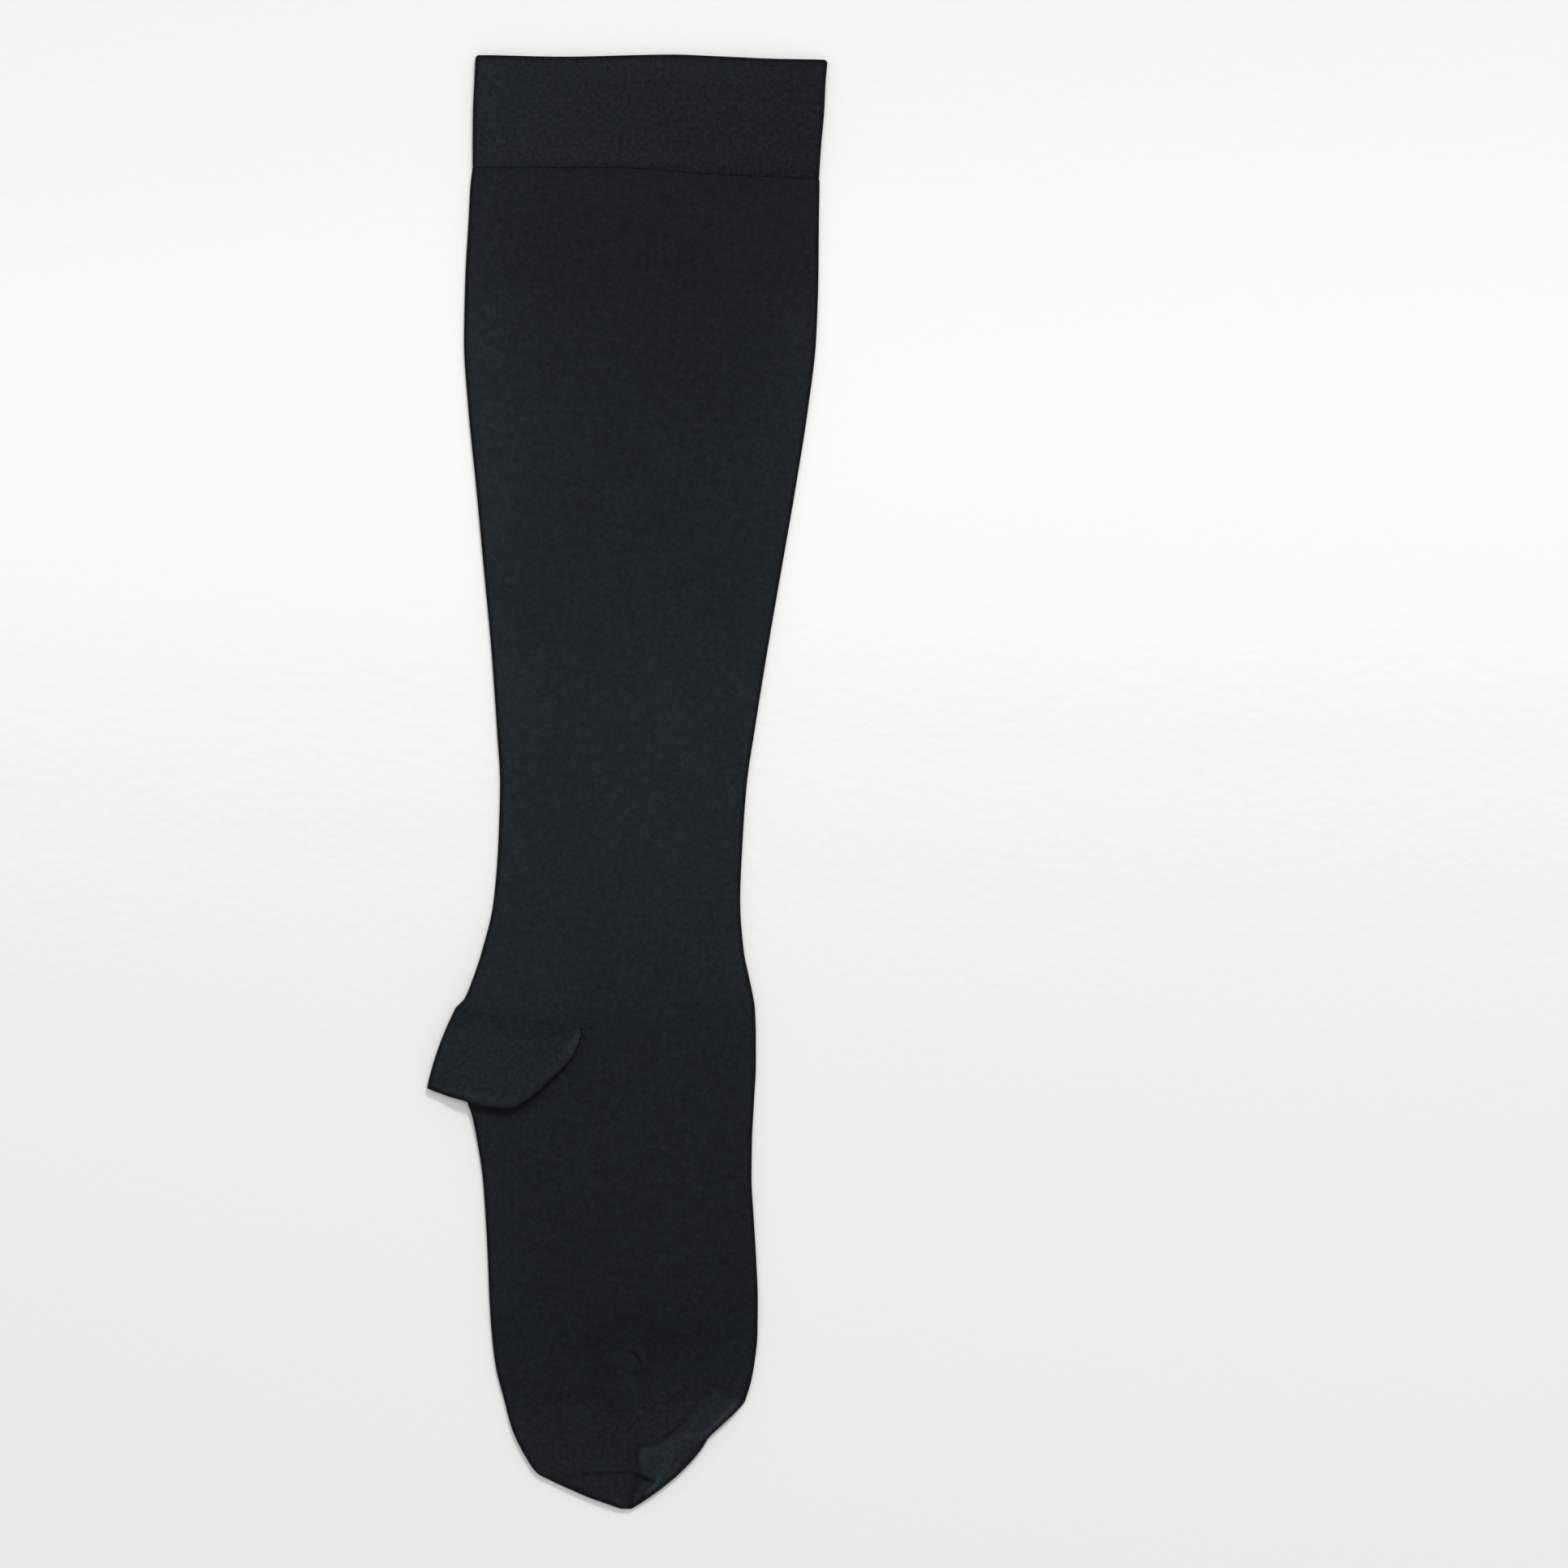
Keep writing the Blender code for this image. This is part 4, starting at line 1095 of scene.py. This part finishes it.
# Where the knit is painted darker or lighter round a place, as a share at its middle: partly the knit's
# own uneven lightness and partly painted light and shade
Shade = namedtuple("Shade", "place x y reach_x reach_y share")
SHADES = rows_of(
    Shade,
    ("top of the band", 10.0, 265.0, 90.0, 5.0, 0.13),
    ("back of the band", -58.0, 240.0, 14.0, 18.0, -0.09),
    ("lower half of the band", 8.0, 237.0, 90.0, 9.0, -0.03),
    ("lower edge of the band", 8.0, 229.5, 32.0, 3.5, 0.12),
    # Painted shadow of the band on the leg
    ("under the front of the band", 54.0, 220.5, 26.0, 4.0, -0.10),
    ("upper back of the calf", -58.0, 190.0, 14.0, 22.0, 0.11),
    ("back of the calf", -62.0, 160.0, 26.0, 110.0, 0.62),
    ("middle of the calf", -20.0, 160.0, 20.0, 55.0, 0.06),
    ("front of the calf", 72.0, 150.0, 22.0, 70.0, 0.27),
    ("lower back of the calf", -54.0, 122.0, 9.0, 16.0, -0.06),
    ("back of the shin", -52.0, 54.0, 8.0, 40.0, 0.14),
    ("front of the shin", 52.0, 68.0, 8.0, 14.0, 0.07),
    ("back of the ankle", -47.0, -30.0, 10.0, 22.0, 0.14),
    ("front of the ankle", 44.0, -69.0, 9.0, 15.0, 0.20),
    ("middle of the lower shin", -25.0, 10.0, 10.0, 24.0, -0.07),
    ("middle of the cuff", -50.0, -97.0, 11.0, 7.0, -0.09),
    ("lower edge of the cuff", -48.0, -115.0, 17.0, 4.0, -0.09),
    ("above the heel", -47.0, -80.0, 25.0, 15.0, 0.22),
    ("below the cuff", -42.0, -129.0, 15.0, 8.0, 0.16),
    ("back of the foot", -54.0, -160.0, 15.0, 50.0, 0.26),
    ("back of the ball", -52.0, -192.0, 12.0, 26.0, 0.22),
    ("front of the ball", 49.0, -213.0, 14.0, 14.0, 0.28),
    ("above the toes", 6.0, -211.0, 22.0, 8.0, -0.05),
    ("back above the toes", -33.0, -208.0, 14.0, 15.0, 0.08),
    ("left of the pucker", -9.0, -222.0, 7.0, 20.0, -0.13),
    ("inside the pucker", -1.0, -214.0, 5.0, 4.5, 0.06),
    # Painted light beside the toe's diagonal fold and its notch
    ("left of the diagonal fold", 14.0, -234.0, 9.0, 11.0, 0.21),
    ("beside the notch", 26.0, -240.5, 5.0, 3.5, 0.13),
    ("left of the tip", -4.0, -263.8, 6.0, 3.0, 0.13),
    ("under the cross fold", -11.0, -260.4, 9.0, 2.6, -0.09),
    ("lower end of the facet", 8.2, -257.2, 3.4, 2.2, 0.12),
)

# The band from back to front, and how much lighter the toe's front facet is painted, as painted light
# where it faces the light
BAND_TONE_BACK = 1.03
BAND_TONE_FRONT = 0.84
BAND_TONE_START = -30.0
BAND_TONE_RUN = 100.0
FACET_PAINTED_LIGHT = 0.74
FACET_PAINTED_LIGHT_ABOVE = 0.54
FACET_SOFT = 3.9
FACET_HARD = 2.1
FACET_START = 4.0
FACET_LOW_START = 0.3
FACET_LOW_RUN = 0.2

# Painted shade along the edges, where the knit turns out of sight at a fold, and how wide it is on each
# piece
EDGE_PAINTED_SHADE = 0.88
EDGE_PAINTED_SHADE_WIDTH = 1.3
HEM_EDGE_WIDTH = 1.65
CUFF_EDGE_WIDTH = 1.25
RIM_EDGE_WIDTH = 0.45
RIM_EDGE_START = -61.0
RIM_EDGE_RUN = 4.0
TOE_BACK_EDGE_WIDTH = 1.45
TOE_RIM_EDGE_WIDTH = 1.15
TOE_FRONT_EDGE_WIDTH = 1.65
TOE_FRONT_EDGE_START = -240.5
TOE_FRONT_EDGE_RUN = 3.0

# Painted shade in the valley at the heel seam, and painted shadow in the crevice under the cuff's rim:
# how dark, how far from the rim and how wide, where the rim lies close and where it stands high
HEEL_SEAM_PAINTED_SHADE = 0.30
HEEL_SEAM_PAINTED_SHADE_WIDTH = 6.0
RIM_SHADE = (0.24, 0.85)
RIM_SHADE_AT = (0.7, 1.55)
RIM_SHADE_WIDTH = (0.9, 1.4)
RIM_OPENING_RATE = 2.2
RIM_OPENING_START = 0.35


def painted_edge_shade(inside, width=EDGE_PAINTED_SHADE_WIDTH):
    """Painted shade: the knit is painted darker where it turns out of sight at a fold."""
    return 1.0 - EDGE_PAINTED_SHADE * np.exp(-((inside / width) ** 4))


def edge_distances(widths, x, y):
    """How far a point lies inside the back edge and inside the front edge, square to each."""
    edges, beyond = width_at(widths, y), width_at(widths, y + SLOPE_STEP)
    lengths = [np.hypot(1.0, (after - edge) / SLOPE_STEP) for edge, after in zip(edges, beyond)]
    return (x - edges[0]) / lengths[0], (edges[1] - x) / lengths[1]


# Painted shade along both edges, with the painted light and shade of the creases
def tube_tone(widths, x, y, back_width=EDGE_PAINTED_SHADE_WIDTH, front_width=EDGE_PAINTED_SHADE_WIDTH):
    back, front = edge_distances(widths, x, y)
    edges = painted_edge_shade(back, back_width) * painted_edge_shade(front, front_width)
    return edges * painted_crease_shading(CREASES_ABOVE, x, y)


# Painted shade along the band's edges and its hem
def band_tone(x, y):
    sides = tube_tone(BAND_WIDTHS, x, y) * painted_edge_shade(line_y(HEM_LINE, x) - y, HEM_EDGE_WIDTH)
    return sides * lerp(BAND_TONE_BACK, BAND_TONE_FRONT, ease((x - BAND_TONE_START) / BAND_TONE_RUN))


def under_rim_painted_shadow(x, y):
    """Painted shadow: the foot is painted darkest in the crevice under the cuff's rim, most where the rim
    stands high.
    """
    distance, _, share = path_place(RIM_LINE, x, y)
    opening = ease(RIM_OPENING_RATE * share - RIM_OPENING_START)
    away = distance - lerp(*RIM_SHADE_AT, opening)
    return 1.0 - lerp(*RIM_SHADE, opening) * bell(away, lerp(*RIM_SHADE_WIDTH, opening))


# The lightness along the stocking with its painted sheen, painted shade at the edges and in the creases,
# and the painted shadow under the cuff's rim
def leg_foot_tone(x, y):
    leg = tube_tone(LEG_WIDTHS, x, y)
    foot = tube_tone(FOOT_WIDTHS, x, y) * under_rim_painted_shadow(x, y)
    return at_y(TONES, "share", y) * np.where(y > line_y(HEEL_SEAM_LINE, x), leg, foot)


# Painted shade along the cuff's edges and in the valley at the heel seam, with the painted light and
# shade of its creases
def heel_tone(x, y):
    back = flap_edge(np.linspace(0.0, 1.0, FLAP_EDGE_POINTS), FLAP_FOLD_LENGTH)
    distance, _, _ = path_place(list(zip(*back)) + RIM_LINE[::-1], x, y)
    seam = 1.0 - HEEL_SEAM_PAINTED_SHADE * bell(line_y(HEEL_SEAM_LINE, x) - y, HEEL_SEAM_PAINTED_SHADE_WIDTH)
    width = lerp(CUFF_EDGE_WIDTH, RIM_EDGE_WIDTH, ease((x - RIM_EDGE_START) / RIM_EDGE_RUN))
    return painted_edge_shade(distance, width) * seam * painted_crease_shading(CREASES_ON_HEEL, x, y)


def painted_facet_light(x, y):
    """The toe's front facet is painted lighter where it faces the light, a painted highlight: softly so
    under the seam, at once along its low creases.
    """
    distance, side, share = path_place(FACET_PATH, x, y)
    low = ease((share - FACET_LOW_START) / FACET_LOW_RUN)
    rise = ease(distance / lerp(FACET_SOFT, FACET_HARD, low))
    start = ease((line_y(TOE_SEAM_LINE, x) - y) / FACET_START)
    return 1.0 + lerp(FACET_PAINTED_LIGHT_ABOVE, FACET_PAINTED_LIGHT, low) * rise * start * (side > 0.0)


# Painted shade along the toe's edges, and painted light on its front facet
def toe_tone(x, y):
    below = ease((TOE_FRONT_EDGE_START - y) / TOE_FRONT_EDGE_RUN)
    front_width = lerp(TOE_RIM_EDGE_WIDTH, TOE_FRONT_EDGE_WIDTH, below)
    sides = tube_tone(TOE_WIDTHS, x, y, TOE_BACK_EDGE_WIDTH, front_width)
    return sides * at_y(TONES, "share", y) * painted_facet_light(x, y)


def add_tone(piece, piece_tone):
    """Gives each point of a shell its share of the knit's lightness, with the painted light and shade in
    it, and its shift of hue.
    """
    mesh = piece.data
    places = np.zeros(len(mesh.vertices) * 3, np.float32)
    mesh.vertices.foreach_get("co", places)
    x, y = places.reshape(-1, 3).T[:2].astype(float) / MM
    share = piece_tone(x, y)
    for row in SHADES:
        away = ((x - row.x) / row.reach_x) ** 2 + ((y - row.y) / row.reach_y) ** 2
        share = share * (1.0 + row.share * np.exp(-away))
    for name, values in zip(CARRIED, (share, at_y(TONES, "red", y), at_y(TONES, "blue", y))):
        attribute = mesh.attributes.new(name, "FLOAT", "POINT")
        attribute.data.foreach_set("value", values.astype(np.float32))


def tube_area(widths, y_low, y_high):
    """The area of both layers of the flat tube between two places, in square metres."""
    y = np.linspace(y_low, y_high, AREA_STEPS)
    back, front = width_at(widths, y)
    return 2.0 * float(np.mean(front - back)) * (y_high - y_low) * MM**2


def wing_area():
    """The area of the cuff above and below the foot, in square metres."""
    outline = [(row.seam_x, float(line_y(HEEL_SEAM_LINE, row.seam_x))) for row in FLAP_SECTIONS]
    outline += [FLAP_FOLD_TOP, FLAP_TIP] + RIM_LINE[::-1]
    turned = outline[1:] + outline[:1]
    twice = sum(ax * by - bx * ay for (ax, ay), (bx, by) in zip(outline, turned))
    return abs(twice) * MM**2


# The floor: a white board, in metres
BOARD = {"Base Color": (0.86, 0.872, 0.862, 1.0), "Roughness": 0.22, "Specular IOR Level": 0.5}
PEEL_STRENGTH = 0.15
PEEL_HEIGHT = 0.0004
FLOOR_HALF_SIDE = 3.0
FLOOR_GAP = 0.0001


def floor_material():
    """Smooth white board with a faint orange peel, glossy enough to catch the light."""
    nodes = Nodes("white_board")
    nodes.set_shader(BOARD)
    peel = nodes.noise(nodes.add("ShaderNodeTexCoord").outputs["Object"], PEEL)
    bump = {"Strength": PEEL_STRENGTH, "Distance": PEEL_HEIGHT, "Height": peel}
    nodes.to_shader("Normal", nodes.add("ShaderNodeBump", bump).outputs["Normal"])
    return nodes.material


def make_floor():
    mesh = bpy.data.meshes.new("floor")
    bm = bmesh.new()
    bmesh.ops.create_grid(bm, x_segments=1, y_segments=1, size=FLOOR_HALF_SIDE)
    bm.to_mesh(mesh)
    bm.free()
    mesh.materials.append(floor_material())
    floor = new_object("floor", mesh)
    floor.location.z = -FLOOR_GAP
    return floor


# Light: sizes and places in metres
Lamp = namedtuple("Lamp", "name place target size power colour")
LAMPS = rows_of(
    Lamp,
    ("key", (1.2, 3.25, 3.8), (0.0, 0.0, 0.0), (1.0, 0.8), 105.0, (1.0, 0.99, 0.97)),
    ("strip", (0.10, 0.215, 2.0), (0.10, 0.215, 0.0), (2.6, 0.34), 10.0, (1.0, 1.0, 1.0)),
)
WORLD_COLOUR = (0.97, 0.985, 0.985, 1.0)
WORLD_STRENGTH = 0.53


def add_light():
    """A soft light from beyond the hem, a long strip overhead, and pale light from all round."""
    for lamp in LAMPS:
        light = bpy.data.lights.new(lamp.name, "AREA")
        light.shape = "RECTANGLE"
        light.size, light.size_y = lamp.size
        light.energy = lamp.power
        light.color = lamp.colour
        holder = new_object(lamp.name, light)
        holder.location = lamp.place
        aim = Vector(lamp.target) - Vector(lamp.place)
        holder.rotation_euler = aim.to_track_quat("-Z", "Y").to_euler()
        holder.visible_camera = False
    world = bpy.data.worlds.new("pale room")
    world.use_nodes = True
    background = world.node_tree.nodes["Background"]
    background.inputs["Color"].default_value = WORLD_COLOUR
    background.inputs["Strength"].default_value = WORLD_STRENGTH
    bpy.context.scene.world = world


# The camera looks straight down on the middle of the photographed frame
FRAME_SIDE = 0.5796
FRAME_MIDDLE = (0.05795, -0.0005)
CAMERA_HEIGHT = 2.5
CAMERA_REACH = 50.0
SENSOR = 36.0


def add_camera():
    camera = bpy.data.cameras.new("camera")
    camera.sensor_width = SENSOR
    camera.lens = SENSOR * CAMERA_HEIGHT / FRAME_SIDE
    camera.clip_end = CAMERA_REACH
    holder = new_object("camera", camera)
    holder.location = (*FRAME_MIDDLE, CAMERA_HEIGHT)
    bpy.context.scene.camera = holder


def dress(piece, node, kind, piece_tone):
    knit = KNITS[kind]
    piece.data.materials.append(knit_material(f"knitted_{kind}", knit))
    add_tone(piece, piece_tone)
    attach(piece, "root")
    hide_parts(node)


# Where the pieces end along the stocking, for their areas
HEM_Y = 268.0
BAND_SEAM_Y = 226.0
HEEL_SEAM_Y = -88.0
TOE_SEAM_Y = -228.0

bpy.context.scene.view_settings.view_transform = "Standard"
floor = make_floor()
band, leg_foot, heel, toe = make_band(), make_leg_foot(), make_heel(), make_toe()
dress(band, "top_band", "band", band_tone)
dress(leg_foot, "leg_foot", "leg", leg_foot_tone)
dress(heel, "heel_pocket", "heel", heel_tone)
dress(toe, "toe_cap", "toe", toe_tone)

band_area = tube_area(BAND_WIDTHS, BAND_SEAM_Y, HEM_Y)
leg_area = tube_area(LEG_WIDTHS, HEEL_SEAM_Y, BAND_SEAM_Y)
leg_area += tube_area(FOOT_WIDTHS, TOE_SEAM_Y, HEEL_SEAM_Y)
toe_area = tube_area(TOE_WIDTHS, TIP_Y, TOE_SEAM_Y)
wing_area()

add_light()
add_camera()
